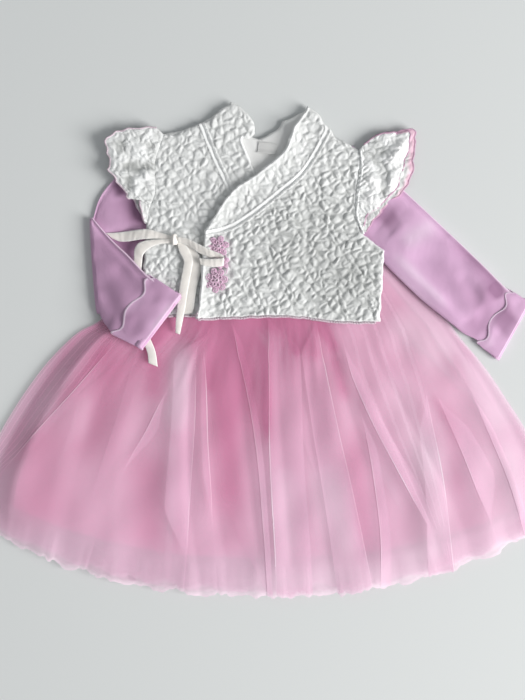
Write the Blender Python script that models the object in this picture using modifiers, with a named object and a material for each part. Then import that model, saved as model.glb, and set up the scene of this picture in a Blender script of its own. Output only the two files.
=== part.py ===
"""Toddler's hanbok laid flat: a knit dress with a net skirt under a quilted wrap vest.

Sizes are in millimetres and are scaled to metres when a mesh is made. X runs across the garment, Y
towards the neck and Z up from the surface it lies on. The origin is on that surface, below the middle of
the vest's hem.
"""

import functools
import math
import random

import bmesh
import bpy
import numpy as np
from mathutils import Matrix, Vector

MM = 0.001
SHARP_ANGLE = math.radians(50)
WELD = 0.00001

# Cloth walls and the gaps between them
CLOTH = 1.2
QUILT_BASE = 1.3
RIBBON = 1.0
SEAM = 0.3
CUT_LOW, CUT_HIGH = -5.0, 60.0

# The vest lies on the dress, and rises over the skirt's gathers towards its hem
VEST_LOW = 3.8
VEST_RISE = 7.0
VEST_RISE_FROM = 140.0
FRONT_LIFT = QUILT_BASE + 0.4
OVERLAP_LIFT = QUILT_BASE + 0.5
OVERLAP_END = 34.0
OVERLAP_RAMP = 16.0
PUFF_PITCH = 7.0
PUFF_HEIGHT = 2.2
PUFF_JITTER = 1.1
PUFF_LEAST = 0.65
PUFF_BORDER, PUFF_FADE = 0.5, 4.0

# Quilting of each panel: angle of its rows in degrees, and seed
QUILTING = {"vest_front_left": (12, 21), "collar_left": (25, 22), "vest_front_right": (8, 23),
            "collar_right": (-40, 24)}

# Skirt: a fan from the waist to the hem, with one place across it (0 to 1) and one down it (0 to 1)
WAIST_Y = 66.0
HEM_Y = -300.0
HEM_RISE = 82.0
HEM_HALF = 317.0
HEM_CURVE = 2.4
SKIRT_LEFT = ((-109, 66), (-140, 38), (-178, 2), (-203, -12), (-233, -41), (-257, -72), (-276, -101),
              (-289, -124), (-305, -157), (-316, -218))
SKIRT_RIGHT = ((129, 66), (149, 52), (178, 24), (202, 2), (215, -15), (244, -50), (267, -84), (289, -119),
               (311, -168), (318, -218))
SIDE_STEPS = 100
SKIRT_ROWS = (0.0, 0.1, 0.2, 0.35, 0.52, 0.7, 0.85, 0.92, 1.0)
EDGE_FLAT, EDGE_RISEN = 0.02, 0.055
LINING_INSET, UNDER_INSET = 0.06, 0.006
UNDER_HEM, BACK_HEM = 0.985, 0.99
LINING_ROWS = (0.0, 0.1, 0.2, 0.35, 0.52, 0.7, 0.85, 0.905)
LINING_WAVE, UNDER_WAVE, TOP_WAVE = 2.5, 3.0, 7.0
LINING_FOLDS, UNDER_FOLDS = 8, 14
# Main folds of the top net: place across the waist, place across the hem, height against the tallest
MAIN_FOLDS = ((0.090, 0.125, 0.70), (0.170, 0.235, 0.85), (0.250, 0.375, 1.00), (0.290, 0.420, 0.75),
              (0.345, 0.495, 0.90), (0.480, 0.525, 0.95), (0.560, 0.590, 0.65), (0.630, 0.687, 1.00),
              (0.665, 0.790, 0.80), (0.715, 0.845, 0.70), (0.765, 0.895, 0.90))
MINOR_FOLDS, MINOR_HEIGHT, MINOR_JITTER = 3, (0.35, 0.65), 0.025
FOLD_SEEDS = {"lining": 3, "under": 5, "top": 11}
GROWTH_FROM, GROWTH_TO = 0.05, 0.6
TOP_WAVE_LOSS = 0.3
HEM_WOBBLE, HEM_WOBBLE_TURN, HEM_WOBBLE_POWER, HEM_WOBBLE_EDGE = 3.0, 1.9, 6, 0.1
# Each fold: width against the others, place and height of its crest, place and height of its shoulder
FOLD_WIDTH = (0.6, 1.4)
VALLEY_HEIGHT = (0.0, 0.12)
CREST_PLACE, CREST_HEIGHT = (0.3, 0.5), (0.55, 1.0)
SHOULDER_PLACE, SHOULDER_HEIGHT = (0.68, 0.8), (0.25, 0.5)

# Dress bodice, under the vest
BODICE = ((-101, 198), (-53, 209), (-40, 189), (-1, 176), (41, 187), (54, 207), (96, 194), (105, 92),
          (117, 66.4), (-109, 66.4), (-113.5, 103))

# Vest outlines
BACK = ((-109, 206), (-85, 211), (-67, 218), (-50, 229), (-40, 236), (-25, 222), (-14, 205), (-4, 200),
        (4, 204), (18, 213), (23, 220), (45, 231), (50, 237), (60, 228), (71, 214), (81, 201), (91, 197),
        (105, 188), (108, 182), (102, 129), (109, 97), (133, 78), (128, 1), (30, 7), (-124, 7), (-130, 57),
        (-127, 107), (-126, 121), (-119, 141), (-119, 176))
BACK_GRID_X, BACK_GRID_Y = (-150, 150), (-20, 260)
LEFT_FRONT = ((-67.5, 218), (-85, 211), (-97, 204), (-109, 206), (-119, 176), (-119, 141), (-126, 121),
              (-127, 107), (-130, 57), (-124, 7), (30, 7), (30, 85), (-18.6, 111.2), (-29.4, 133.8),
              (-36.4, 147.8), (-52.4, 181.8))
LEFT_COLLAR = ((-65, 219), (-60, 220), (-50, 229), (-34, 241), (-17, 229), (-9, 216), (-5, 201), (-14, 204),
               (-24, 204), (-21, 194), (-7, 161), (5, 132), (-18, 112), (-29, 134), (-36, 148), (-52, 182))
RIGHT_FRONT = ((-63, 95), (-64, 89), (-68, 31), (-72, 3), (-20, 5), (30, 6), (83, 0), (128, 0), (133, 78),
               (109, 97), (105, 113), (102, 129), (105, 158), (108, 182), (105, 188), (91, 197), (81, 201),
               (71, 214), (69.6, 205), (46.4, 165.6), (18.3, 140.6), (-14.8, 114.6), (-38, 101.6))
RIGHT_COLLAR = ((50, 237), (34, 212), (28, 199), (23, 186), (-7, 161), (-35, 141), (-60, 103), (-63, 99),
                (-62.9, 95.6), (-38.2, 102.2), (-15.2, 115.2), (17.8, 141.2), (45.8, 166), (69, 205.6),
                (70.6, 214.6), (58, 229))

# The right front's free edge, from the hem to the neck, and how the left front's puffs fade in beyond it
FREE_EDGE = ((-72, 3), (-68, 31), (-63, 95), (-60, 103), (-35, 141), (-7, 161), (23, 186), (34, 212))
SHOW_FROM, SHOW_FADE = 3.0, 8.0

# Cap sleeves: seam line and free edge of each layer, from the shoulder down to the underarm
LEFT_CAP_SEAM = ((-110, 206.5), (-119.4, 178), (-120, 160), (-119.6, 142), (-126.4, 122), (-127.4, 108))
LEFT_CAP_FRONT = ((-117, 213), (-144, 210), (-160, 206), (-170, 197), (-167, 181), (-166, 164), (-153, 146),
                  (-144, 134), (-137, 140), (-133, 126), (-129.5, 110))
LEFT_CAP_BACK = ((-117, 212), (-142, 208), (-158, 203), (-166, 193), (-163, 176), (-158, 160), (-150, 147),
                 (-141, 136), (-138, 129), (-133, 118), (-129, 107))
RIGHT_CAP_SEAM = ((106.5, 189), (109.2, 182), (106.8, 160), (103.2, 129), (106.6, 113), (110.2, 98.5))
RIGHT_CAP_FRONT = ((112, 195), (128, 205), (146, 207), (162, 205), (159, 190), (155, 175), (148, 150),
                   (134, 133), (125, 124), (115, 118), (110, 104))
RIGHT_CAP_BACK = ((114, 196), (129, 206), (148, 208), (167, 209), (164, 178), (163, 162), (158, 150),
                  (150, 139), (139, 131), (122, 111), (114, 98))
# Each layer: lift from the vest's rest, flare at the free edge, wave height, number of waves, puffs, seed
CAP_LAYERS = {"back": (0.2, 1.0, 2.0, 4, 0.0, 2), "front": (FRONT_LIFT + 0.2, 3.4, 3.0, 5, 1.8, 4)}
CAP_COLUMNS, CAP_ROWS = 22, 5
CAP_END, CAP_PUFF_EDGE = 0.06, 0.15

# Points of a flattened ring: place from one edge to the other, and height against the half thickness
RING_PLACES = ((0.0, 0.0), (0.03, 0.75), (0.12, 1.0), (0.3, 1.0), (0.5, 1.0), (0.7, 1.0), (0.88, 1.0),
               (0.97, 0.75), (1.0, 0.0))

# Sleeve stations: upper edge x, y and underside, lower edge x, y and underside, half thickness
RIGHT_SLEEVE = (
    (98.6, 194, 0.0, 107.6, 92, 0.0, 1.35),
    (129, 168, 0.0, 123, 76, 0.6, 1.7),
    (160, 140, 0.0, 140, 57, 4.9, 2.2),
    (197, 105, 0.0, 173, 25, 4.9, 3.0),
    (235, 69, 0.0, 204, 0, 4.9, 3.2),
    (258, 46, 1.0, 221, -13, 2.4, 2.8),
)
LEFT_UPPER_ARM = (
    (-102.5, 197, 0.0, -115.5, 103, 0.0, 1.35),
    (-135, 178, 0.0, -135, 77, 0.0, 1.8),
    (-160, 160, 0.0, -152, 51, 0.0, 2.1),
    (-178, 138, 0.0, -170, 27, 0.0, 2.2),
)
# The fold at the elbow: its upper end x, y, lower end x, y and half thickness, and the turns of its rings
LEFT_FOLD = (-186.0, 114.0, -178.5, 9.0, 2.2)
FOLD_TURNS = (0, 45, 90, 135, 180)
FOLD_GAP = 0.2
LEFT_FOREARM = (
    (-166, 91, 6.8, -174, 0, 7.2, 2.1),
    (-146, 72, 11.0, -169, -6, 10.4, 2.1),
)
# Cuff stations: upper edge x, y and underside, lower edge x, y and underside
RIGHT_CUFF = ((269, 37, 0.0, 234, -23, 0.0), (280, 30, 0.0, 244, -31, 0.0), (292, 22, 0.0, 257.5, -40.5, 0.0))
LEFT_CUFF = ((-124, 52, 15.4, -166, -12.5, 12.0), (-106, 40.5, 16.5, -148.5, -21.5, 13.5),
             (-89, 29, 17.7, -133, -29, 14.3))
RIGHT_CUFF_HALF, LEFT_CUFF_HALF = 4.0, 3.5
CUFF_INSET = 2.8
CUFF_END = 2.0
CUFF_WAVE = 4.0
CUFF_WAVES = 5

# Ribbon rows: one edge x, y, z, then the other edge x, y, z
RIBBON_END = (
    (-99, 93.5, 12.2, -99, 88, 12.2), (-113, 98, 11.8, -113, 90.5, 12.0), (-124, 101, 11.6, -124, 90.5, 11.9),
    (-133, 101, 10.4, -135, 89.5, 10.6), (-146, 99.5, 7.8, -146, 88, 8.0), (-159, 98, 5.8, -156, 88, 6.0),
    (-172, 97.5, 4.9, -164, 91, 5.1),
)
RIBBON_SIDE = (
    (-99, 90, 13.5, -99, 85.5, 13.5), (-117, 89.5, 13.4, -112, 84.5, 13.4), (-133, 87, 12.3, -123, 80, 12.8),
    (-139.5, 80, 10.6, -130, 73, 11.6), (-140.5, 69, 9.6, -131.5, 65, 10.4), (-141.5, 54, 9.0, -132.5, 52, 9.4),
    (-142, 30, 8.9, -132.5, 30, 9.6), (-140, 8, 10.2, -131, 7, 10.8), (-134, -14, 12.2, -125, -12, 12.4),
    (-126, -32, 13.5, -117, -31, 13.5), (-124, -45, 14.6, -114, -49, 14.6),
)
RIBBON_LOOP = (
    (-93, 92.5, 16.6, -93, 86.5, 14.8), (-82, 90.5, 18.4, -82, 83, 15.6), (-70, 84.5, 20.5, -70, 75, 16.8),
    (-58, 78.5, 21.6, -58, 70, 18.2), (-48, 74.5, 22.2, -49, 69.5, 18.8), (-42.5, 71.5, 22.4, -44, 66, 18.8),
    (-43.0, 68.8, 22.3, -42.5, 61.0, 18.7), (-52, 68, 21.2, -50, 59.5, 18.6), (-62, 68, 19.4, -60, 60, 17.8),
    (-69, 69, 18.0, -67, 62, 17.0),
)
RIBBON_TAIL_FRONT = (
    (-93, 85, 13.3, -93, 91.5, 13.3), (-91, 77, 14.0, -82, 82, 14.0), (-86, 66, 14.4, -76, 68, 14.4),
    (-87, 57, 15.0, -77, 57, 15.0), (-91, 33, 16.1, -81, 35, 16.1), (-93, 13, 17.2, -84, 15, 17.2),
    (-94, 3, 17.0, -86, 4, 17.0), (-95, -12, 12.6, -90, -14, 12.6),
)
RIBBON_TAIL_BACK = (
    (-93, 84.5, 12.0, -93, 91, 12.0), (-88, 76, 12.7, -79, 83, 12.5), (-82, 66, 13.1, -70.5, 69, 13.0),
    (-80, 57, 13.6, -69.5, 58, 13.6), (-81, 33, 14.8, -72, 33, 14.8), (-85, 8.5, 16.0, -74.5, 9.5, 16.0),
)
KNOT_CENTRE = (-96.0, 89.3, 15.1)
KNOT_SIZE = (5.2, 12.0, 6.0)
KNOT_ROUND = 1.6
KNOT_SEGMENTS = 2

# Lace flowers: centre x, y and half width, half length
FLOWERS = {"lace_flower_upper": (-49, 82, 9.5, 9.5), "lace_flower_middle": (-46, 64.5, 6.6, 6.2),
           "lace_flower_lower": (-51, 45, 10.5, 11.5)}
FLOWER_LIFT = FRONT_LIFT + OVERLAP_LIFT + QUILT_BASE + PUFF_HEIGHT + 0.4
FLOWER_PETALS = 6
FLOWER_MIDDLE = 2.0
PETAL_REACH = 0.14
# Rings of a flower: reach, height and how far the petals rise above it
FLOWER_RINGS = ((0.35, 2.4, 0.0), (0.72, 1.5, 0.6), (1.0, 0.9, 0.0))

# Blank label on the inside of the back
LABEL_CENTRE = (5.0, 190.0)
LABEL_SIZE = (20.0, 12.0)
LABEL_TILT = math.radians(-7.0)
LABEL_THICK = 0.6

COLOURS = {
    "pink_knit": ((0.60, 0.38, 0.52), 0.85), "pink_net": ((0.68, 0.32, 0.45), 0.8),
    "pink_lining": ((0.62, 0.28, 0.40), 0.6), "white_quilt": ((0.80, 0.81, 0.80), 0.9),
    "ivory_ribbon": ((0.80, 0.76, 0.70), 0.4), "lilac_lace": ((0.60, 0.38, 0.50), 0.9),
    "grey_lining": ((0.62, 0.62, 0.62), 0.8), "label_tape": ((0.85, 0.85, 0.84), 0.6),
}


# Plain helpers

def clamp(value, low=0.0, high=1.0):
    return max(low, min(high, value))


def smooth(value, start, end):
    """0 before start, 1 after end, with soft ends."""
    x = clamp((value - start) / (end - start))
    return x * x * (3 - 2 * x)


def smooth_line(points, count):
    """count points, evenly spaced, on a smooth curve through the given ones."""
    pts = np.array(points, dtype=float)
    ends = np.vstack([2 * pts[0] - pts[1], pts, 2 * pts[-1] - pts[-2]])
    dense = []
    for k in range(len(pts) - 1):
        p0, p1, p2, p3 = ends[k:k + 4]
        for u in np.linspace(0, 1, 24, endpoint=False):
            dense.append(0.5 * (2 * p1 + (p2 - p0) * u + (2 * p0 - 5 * p1 + 4 * p2 - p3) * u * u
                                + (3 * p1 - p0 - 3 * p2 + p3) * u ** 3))
    dense.append(pts[-1])
    dense = np.array(dense)
    run = np.concatenate([[0], np.cumsum(np.linalg.norm(np.diff(dense, axis=0), axis=1))])
    at = np.linspace(0, run[-1], count)
    return np.stack([np.interp(at, run, dense[:, a]) for a in range(dense.shape[1])], axis=1)


def outline_distance(x, y, outline):
    """Distance from a point to the nearest side of an outline."""
    best = 1e9
    for (ax, ay), (bx, by) in zip(outline, outline[1:] + outline[:1]):
        dx, dy = bx - ax, by - ay
        u = clamp(((x - ax) * dx + (y - ay) * dy) / (dx * dx + dy * dy))
        best = min(best, math.hypot(x - ax - u * dx, y - ay - u * dy))
    return best


def fabric(name, kind):
    """A material of its own for one object, from the colour table."""
    colour, roughness = COLOURS[kind]
    material = bpy.data.materials.new(f"{name}_{kind}")
    material.use_nodes = True
    shader = material.node_tree.nodes["Principled BSDF"]
    shader.inputs["Base Color"].default_value = (*colour, 1.0)
    shader.inputs["Roughness"].default_value = roughness
    shader.inputs["Metallic"].default_value = 0.0
    material.diffuse_color = (*colour, 1.0)
    return material


def add_object(name, points, faces, kind, collection):
    """An object from points in millimetres."""
    mesh = bpy.data.meshes.new(name)
    mesh.from_pydata([Vector(p) * MM for p in points], [], faces)
    mesh.update()
    obj = bpy.data.objects.new(name, mesh)
    collection.objects.link(obj)
    if kind:
        mesh.materials.append(fabric(name, kind))
        mesh.shade_smooth()
        mesh.set_sharp_from_angle(angle=SHARP_ANGLE)
    return obj


def facing_out(points, faces):
    """The faces, turned round where they enclose a negative volume."""
    pts = np.array([tuple(p) for p in points], dtype=float)
    pts -= pts.mean(axis=0)
    volume = 0.0
    for face in faces:
        for k in range(1, len(face) - 1):
            volume += np.dot(pts[face[0]], np.cross(pts[face[k]], pts[face[k + 1]]))
    return faces if volume > 0 else [face[::-1] for face in faces]


def grid_faces(rows, columns, around=False, start=0):
    """Quads over a grid of points, closed round each row when around is set."""
    faces = []
    across = columns if around else columns - 1
    for r in range(rows - 1):
        for c in range(across):
            a, b = r * columns + c, r * columns + (c + 1) % columns
            faces.append(tuple(start + k for k in (a, b, b + columns, a + columns)))
    return faces


def cloth_sheet(name, rows, thickness, kind, collection):
    """An open sheet of rows of points, thickened upwards."""
    points = [tuple(p) for row in rows for p in row]
    faces = grid_faces(len(rows), len(rows[0]))
    corners = [Vector(points[k]) for k in faces[0]]
    if (corners[1] - corners[0]).cross(corners[3] - corners[0]).z < 0:
        faces = [face[::-1] for face in faces]
    obj = add_object(name, points, faces, kind, collection)
    wall = obj.modifiers.new("cloth thickness", "SOLIDIFY")
    wall.thickness = thickness * MM
    wall.offset = 1.0
    return obj


def cloth_tube(name, rings, thickness, kind, collection):
    """A tube of cloth through closed rings, thickened inwards, open at both ends."""
    points = [tuple(p) for ring in rings for p in ring]
    faces = facing_out(points, grid_faces(len(rings), len(rings[0]), around=True))
    obj = add_object(name, points, faces, kind, collection)
    wall = obj.modifiers.new("cloth thickness", "SOLIDIFY")
    wall.thickness = thickness * MM
    wall.offset = -1.0
    return obj


def quilted_block(name, low, high, kind, collection):
    """A closed wall between a plain lower grid and a quilted upper grid.

    Every second upper point is a puff's top, and each cell is split along its two low points."""
    rows, columns = len(low), len(low[0])
    count = rows * columns
    points = [tuple(p) for row in low for p in row] + [tuple(p) for row in high for p in row]
    faces = [face[::-1] for face in grid_faces(rows, columns)]
    for r in range(rows - 1):
        for c in range(columns - 1):
            a, b, d, e = (count + r * columns + c, count + r * columns + c + 1,
                          count + (r + 1) * columns + c + 1, count + (r + 1) * columns + c)
            if (r + c) % 2 == 0:
                faces += [(a, b, d), (a, d, e)]
            else:
                faces += [(a, b, e), (b, d, e)]
    rim = [c for c in range(columns)]
    rim += [r * columns + columns - 1 for r in range(1, rows)]
    rim += [(rows - 1) * columns + c for c in range(columns - 2, -1, -1)]
    rim += [r * columns for r in range(rows - 2, 0, -1)]
    faces += [(a, b, b + count, a + count) for a, b in zip(rim, rim[1:] + rim[:1])]
    return add_object(name, points, facing_out(points, faces), kind, collection)


def outline_prism(name, outline, low, high, kind, collection):
    """A flat piece cut to an outline, between two heights."""
    curve = bpy.data.curves.new(name, "CURVE")
    curve.dimensions = "2D"
    curve.fill_mode = "BOTH"
    curve.extrude = (high - low) / 2 * MM
    spline = curve.splines.new("POLY")
    spline.points.add(len(outline) - 1)
    for point, (x, y) in zip(spline.points, outline):
        point.co = (x * MM, y * MM, 0.0, 1.0)
    spline.use_cyclic_u = True
    flat = bpy.data.objects.new(name + "_curve", curve)
    bpy.context.scene.collection.objects.link(flat)
    flat.location.z = (low + high) / 2 * MM
    bpy.context.view_layer.update()
    graph = bpy.context.evaluated_depsgraph_get()
    mesh = bpy.data.meshes.new_from_object(flat.evaluated_get(graph))
    mesh.transform(flat.matrix_world)
    bpy.data.objects.remove(flat)
    bpy.data.curves.remove(curve)
    weld_caps(mesh)
    mesh.name = name
    mesh.materials.clear()
    obj = bpy.data.objects.new(name, mesh)
    collection.objects.link(obj)
    if kind:
        mesh.materials.append(fabric(name, kind))
    return obj


def weld_caps(mesh):
    """Join the two caps of an extruded curve to its walls."""
    bm = bmesh.new()
    bm.from_mesh(mesh)
    bmesh.ops.remove_doubles(bm, verts=bm.verts, dist=WELD)
    bmesh.ops.recalc_face_normals(bm, faces=bm.faces)
    bm.to_mesh(mesh)
    bm.free()


def cut_to_outline(obj, outline, cutters):
    """Keep only what lies inside the outline."""
    cutter = outline_prism(obj.name + "_outline", outline, CUT_LOW, CUT_HIGH, None, cutters)
    cutter.hide_render = True
    cutter.display_type = "WIRE"
    cut = obj.modifiers.new("cut to outline", "BOOLEAN")
    cut.operation = "INTERSECT"
    cut.solver = "EXACT"
    cut.object = cutter


# Skirt

@functools.lru_cache(maxsize=None)
def side_line(points):
    return smooth_line(points, SIDE_STEPS + 1)


@functools.lru_cache(maxsize=None)
def skirt_side(points, t):
    """The place a share t of the way down one side of the skirt."""
    line = side_line(points)
    steps = range(SIDE_STEPS + 1)
    return np.array([np.interp(t * SIDE_STEPS, steps, line[:, axis]) for axis in range(2)])


def hem_point(s):
    x = SKIRT_LEFT[-1][0] + s * (SKIRT_RIGHT[-1][0] - SKIRT_LEFT[-1][0])
    return np.array([x, HEM_Y + HEM_RISE * (abs(x) / HEM_HALF) ** HEM_CURVE])


def waist_point(s):
    return np.array([SKIRT_LEFT[0][0] + s * (SKIRT_RIGHT[0][0] - SKIRT_LEFT[0][0]), WAIST_Y])


def skirt_point(s, t):
    """A place on the skirt's fan, blended from its two sides, waist and hem."""
    left, right = skirt_side(SKIRT_LEFT, t), skirt_side(SKIRT_RIGHT, t)
    corners = ((1 - s) * (1 - t) * waist_point(0) + s * (1 - t) * waist_point(1)
               + (1 - s) * t * hem_point(0) + s * t * hem_point(1))
    return (1 - s) * left + s * right + (1 - t) * waist_point(s) + t * hem_point(s) - corners


def growth(t):
    """How far the folds have opened, from the waist down."""
    return smooth(t, GROWTH_FROM, GROWTH_TO)


def from_edge(s):
    return min(s, 1 - s)


def risen(s):
    """0 along the skirt's two sides, 1 where its layers lie over each other."""
    return clamp((from_edge(s) - EDGE_FLAT) / (EDGE_RISEN - EDGE_FLAT))


def layer_inside(s, t):
    """1 where the lining lies below, falling to 0 at the skirt's own edges."""
    return risen(s) * clamp((1.0 - t) / (1.0 - SKIRT_ROWS[-2]))


def lining_top(t):
    return 2 * (CLOTH + SEAM) + LINING_WAVE * growth(t) + CLOTH


def under_low(s, t):
    rest = CLOTH + SEAM
    return rest + layer_inside(s, t) * (lining_top(t) + SEAM - rest)


def top_low(s, t):
    return under_low(s, t) + risen(s) * UNDER_WAVE * growth(t) + CLOTH + SEAM


def fold_columns(count, seed, side):
    """Places across the skirt with a height from 0 to 1: valley, crest and shoulder of each fold.

    side is how far in from the skirt's side the layer starts; its borders lie flat."""
    rng = random.Random(seed)
    widths = [rng.uniform(*FOLD_WIDTH) for _ in range(count)]
    total = sum(widths)
    first, last = max(side, EDGE_RISEN), 1 - max(side, EDGE_RISEN)
    borders = [s for s in (side, EDGE_FLAT) if side <= s < EDGE_RISEN]
    columns, s = [(b, 0.0) for b in borders], first
    for width in widths:
        step = width / total * (last - first)
        columns.append((s, rng.uniform(*VALLEY_HEIGHT)))
        columns.append((s + step * rng.uniform(*CREST_PLACE), rng.uniform(*CREST_HEIGHT)))
        columns.append((s + step * rng.uniform(*SHOULDER_PLACE), rng.uniform(*SHOULDER_HEIGHT)))
        s += step
    columns.append((last, 0.0))
    columns[len(borders)] = (first, 0.0)
    columns += [(1 - b, 0.0) for b in reversed(borders)]
    return [(s, s, lift) for s, lift in columns]


def main_columns(seed):
    """Places at the waist and at the hem, with heights, of the main folds and the smaller ones between."""
    rng = random.Random(seed)
    ends = [(EDGE_RISEN, EDGE_RISEN, 0.0), (1 - EDGE_RISEN, 1 - EDGE_RISEN, 0.0)]
    stations = ends[:1] + list(MAIN_FOLDS) + ends[1:]
    columns = [(0.0, 0.0, 0.0), (EDGE_FLAT, EDGE_FLAT, 0.0)] + stations[:1]
    steps = 2 * MINOR_FOLDS + 1
    for (waist, hem, _), (next_waist, next_hem, height) in zip(stations, stations[1:]):
        for k in range(1, steps + 1):
            share = k / (steps + 1) + rng.uniform(-MINOR_JITTER, MINOR_JITTER)
            lift = rng.uniform(*(VALLEY_HEIGHT if k % 2 else MINOR_HEIGHT))
            columns.append((waist + (next_waist - waist) * share, hem + (next_hem - hem) * share, lift))
        columns.append((next_waist, next_hem, height))
    return columns + [(1 - EDGE_FLAT, 1 - EDGE_FLAT, 0.0), (1.0, 1.0, 0.0)]


def skirt_layer(name, rows, columns, low, wave, kind, collection, wobble=0.0):
    """One rippled layer of the skirt's front."""
    sheet = []
    for t in rows:
        line = []
        for k, (waist, hem, lift) in enumerate(columns):
            s = waist + (hem - waist) * t
            x, y = skirt_point(s, t)
            y += (wobble * t ** HEM_WOBBLE_POWER * math.sin(HEM_WOBBLE_TURN * k)
                  * clamp(from_edge(s) / HEM_WOBBLE_EDGE))
            line.append((x, y, low(s, t) + wave(s, t) * lift))
        sheet.append(line)
    return cloth_sheet(name, sheet, CLOTH, kind, collection)


def fan_outline(first, last, bottom, count):
    """The outline of a flat layer of the fan."""
    steps = [k / count for k in range(count + 1)]
    across = [first + (last - first) * k for k in steps]
    down = [bottom * k for k in steps]
    left = [skirt_point(first, t) for t in down]
    hem = [skirt_point(s, bottom) for s in across[1:-1]]
    right = [skirt_point(last, t) for t in reversed(down)]
    return [tuple(p) for p in left + hem + right]


def build_skirt(collection):
    """The skirt's five layers, from the floor up."""
    low = CLOTH + SEAM
    outline_prism("skirt_net_back", fan_outline(0.0, 1.0, BACK_HEM, 20), 0.0, CLOTH, "pink_net", collection)
    outline_prism("skirt_lining_back", fan_outline(LINING_INSET, 1 - LINING_INSET, LINING_ROWS[-1], 16),
                  low, low + CLOTH, "pink_lining", collection)
    skirt_layer("skirt_lining_front", LINING_ROWS,
                fold_columns(LINING_FOLDS, FOLD_SEEDS["lining"], LINING_INSET),
                lambda s, t: 2 * low, lambda s, t: LINING_WAVE * growth(t), "pink_lining", collection)
    skirt_layer("skirt_net_under", SKIRT_ROWS[:-1] + (UNDER_HEM,),
                fold_columns(UNDER_FOLDS, FOLD_SEEDS["under"], UNDER_INSET),
                under_low, lambda s, t: UNDER_WAVE * growth(t), "pink_net", collection, HEM_WOBBLE)
    skirt_layer("skirt_net_top", SKIRT_ROWS, main_columns(FOLD_SEEDS["top"]), top_low,
                lambda s, t: TOP_WAVE * growth(t) * (1 - TOP_WAVE_LOSS * t), "pink_net", collection,
                HEM_WOBBLE)


# Vest

def vest_rest(y):
    """Height of the vest's underside at a distance from its hem."""
    return VEST_LOW + VEST_RISE * clamp((VEST_RISE_FROM - y) / VEST_RISE_FROM)


def left_front_low(x, y):
    return vest_rest(y) + FRONT_LIFT


def right_front_low(x, y):
    """The right front steps up over the left front, which ends under it."""
    return left_front_low(x, y) + OVERLAP_LIFT * clamp((OVERLAP_END + OVERLAP_RAMP - x) / OVERLAP_RAMP)


def cover_edge(y):
    """Where the right front's free edge lies, at a given height of the garment."""
    return float(np.interp(y, [place[1] for place in FREE_EDGE], [place[0] for place in FREE_EDGE]))


def uncovered(x, y):
    """1 where the left front shows, 0 under the right front."""
    return clamp((cover_edge(y) - x - SHOW_FROM) / SHOW_FADE)


def everywhere(x, y):
    return 1.0


def quilted_panel(name, outline, low, show, collection, cutters):
    """A quilted piece: a grid of puffs turned by an angle and cut to the outline."""
    degrees, seed = QUILTING[name]
    rng = random.Random(seed)
    turn, back = math.cos(math.radians(degrees)), math.sin(math.radians(degrees))
    spun = [(x * turn + y * back, y * turn - x * back) for x, y in outline]
    us = np.arange(min(p[0] for p in spun) - PUFF_PITCH, max(p[0] for p in spun) + 2 * PUFF_PITCH, PUFF_PITCH)
    vs = np.arange(min(p[1] for p in spun) - PUFF_PITCH, max(p[1] for p in spun) + 2 * PUFF_PITCH, PUFF_PITCH)
    lower, upper = [], []
    for r, v in enumerate(vs):
        lower_row, upper_row = [], []
        for c, u in enumerate(us):
            shift_u, shift_v = (rng.uniform(-PUFF_JITTER, PUFF_JITTER) for _ in range(2))
            x = (u + shift_u) * turn - (v + shift_v) * back
            y = (u + shift_u) * back + (v + shift_v) * turn
            puff = PUFF_HEIGHT * rng.uniform(PUFF_LEAST, 1.0) if (r + c) % 2 else 0.0
            puff *= clamp((outline_distance(x, y, outline) - PUFF_BORDER) / PUFF_FADE) * show(x, y)
            lower_row.append((x, y, low(x, y)))
            upper_row.append((x, y, low(x, y) + QUILT_BASE + puff))
        lower.append(lower_row)
        upper.append(upper_row)
    obj = quilted_block(name, lower, upper, "white_quilt", collection)
    cut_to_outline(obj, outline, cutters)


def build_vest_back(collection, cutters):
    """The back is plain: only its smooth inside shows, at the neck."""
    xs = BACK_GRID_X
    ys = (BACK_GRID_Y[0], 0, VEST_RISE_FROM, BACK_GRID_Y[1])
    lower = [[(x, y, vest_rest(y)) for x in xs] for y in ys]
    upper = [[(x, y, vest_rest(y) + QUILT_BASE) for x in xs] for y in ys]
    obj = quilted_block("vest_back", lower, upper, "grey_lining", collection)
    cut_to_outline(obj, BACK, cutters)


def cap_sleeve(name, seam, edge, layer, collection):
    """A gathered cap sleeve: a quilted strip that opens from its seam into waves."""
    lift, flare, wave, waves, puffs, seed = CAP_LAYERS[layer]
    rng = random.Random(seed)
    inner = smooth_line(seam, CAP_COLUMNS)
    outer = smooth_line(edge, CAP_COLUMNS)
    lower, upper = [], []
    for r in range(CAP_ROWS):
        v = r / (CAP_ROWS - 1)
        lower_row, upper_row = [], []
        for c in range(CAP_COLUMNS):
            u = c / (CAP_COLUMNS - 1)
            x, y = inner[c] * (1 - v) + outer[c] * v
            ripple = 0.5 + 0.5 * math.sin(2 * math.pi * waves * u + seed)
            ripple *= math.sin(math.pi * clamp(u, CAP_END, 1 - CAP_END))
            z = vest_rest(y) + lift + v * (flare + wave * ripple)
            puff = puffs * rng.uniform(PUFF_LEAST, 1.0) if (r + c) % 2 else 0.0
            puff *= 1.0 if 0 < r < CAP_ROWS - 1 and 0 < c < CAP_COLUMNS - 1 else CAP_PUFF_EDGE
            lower_row.append((x, y, z))
            upper_row.append((x, y, z + QUILT_BASE + puff))
        lower.append(lower_row)
        upper.append(upper_row)
    quilted_block(name, lower, upper, "white_quilt", collection)


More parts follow.
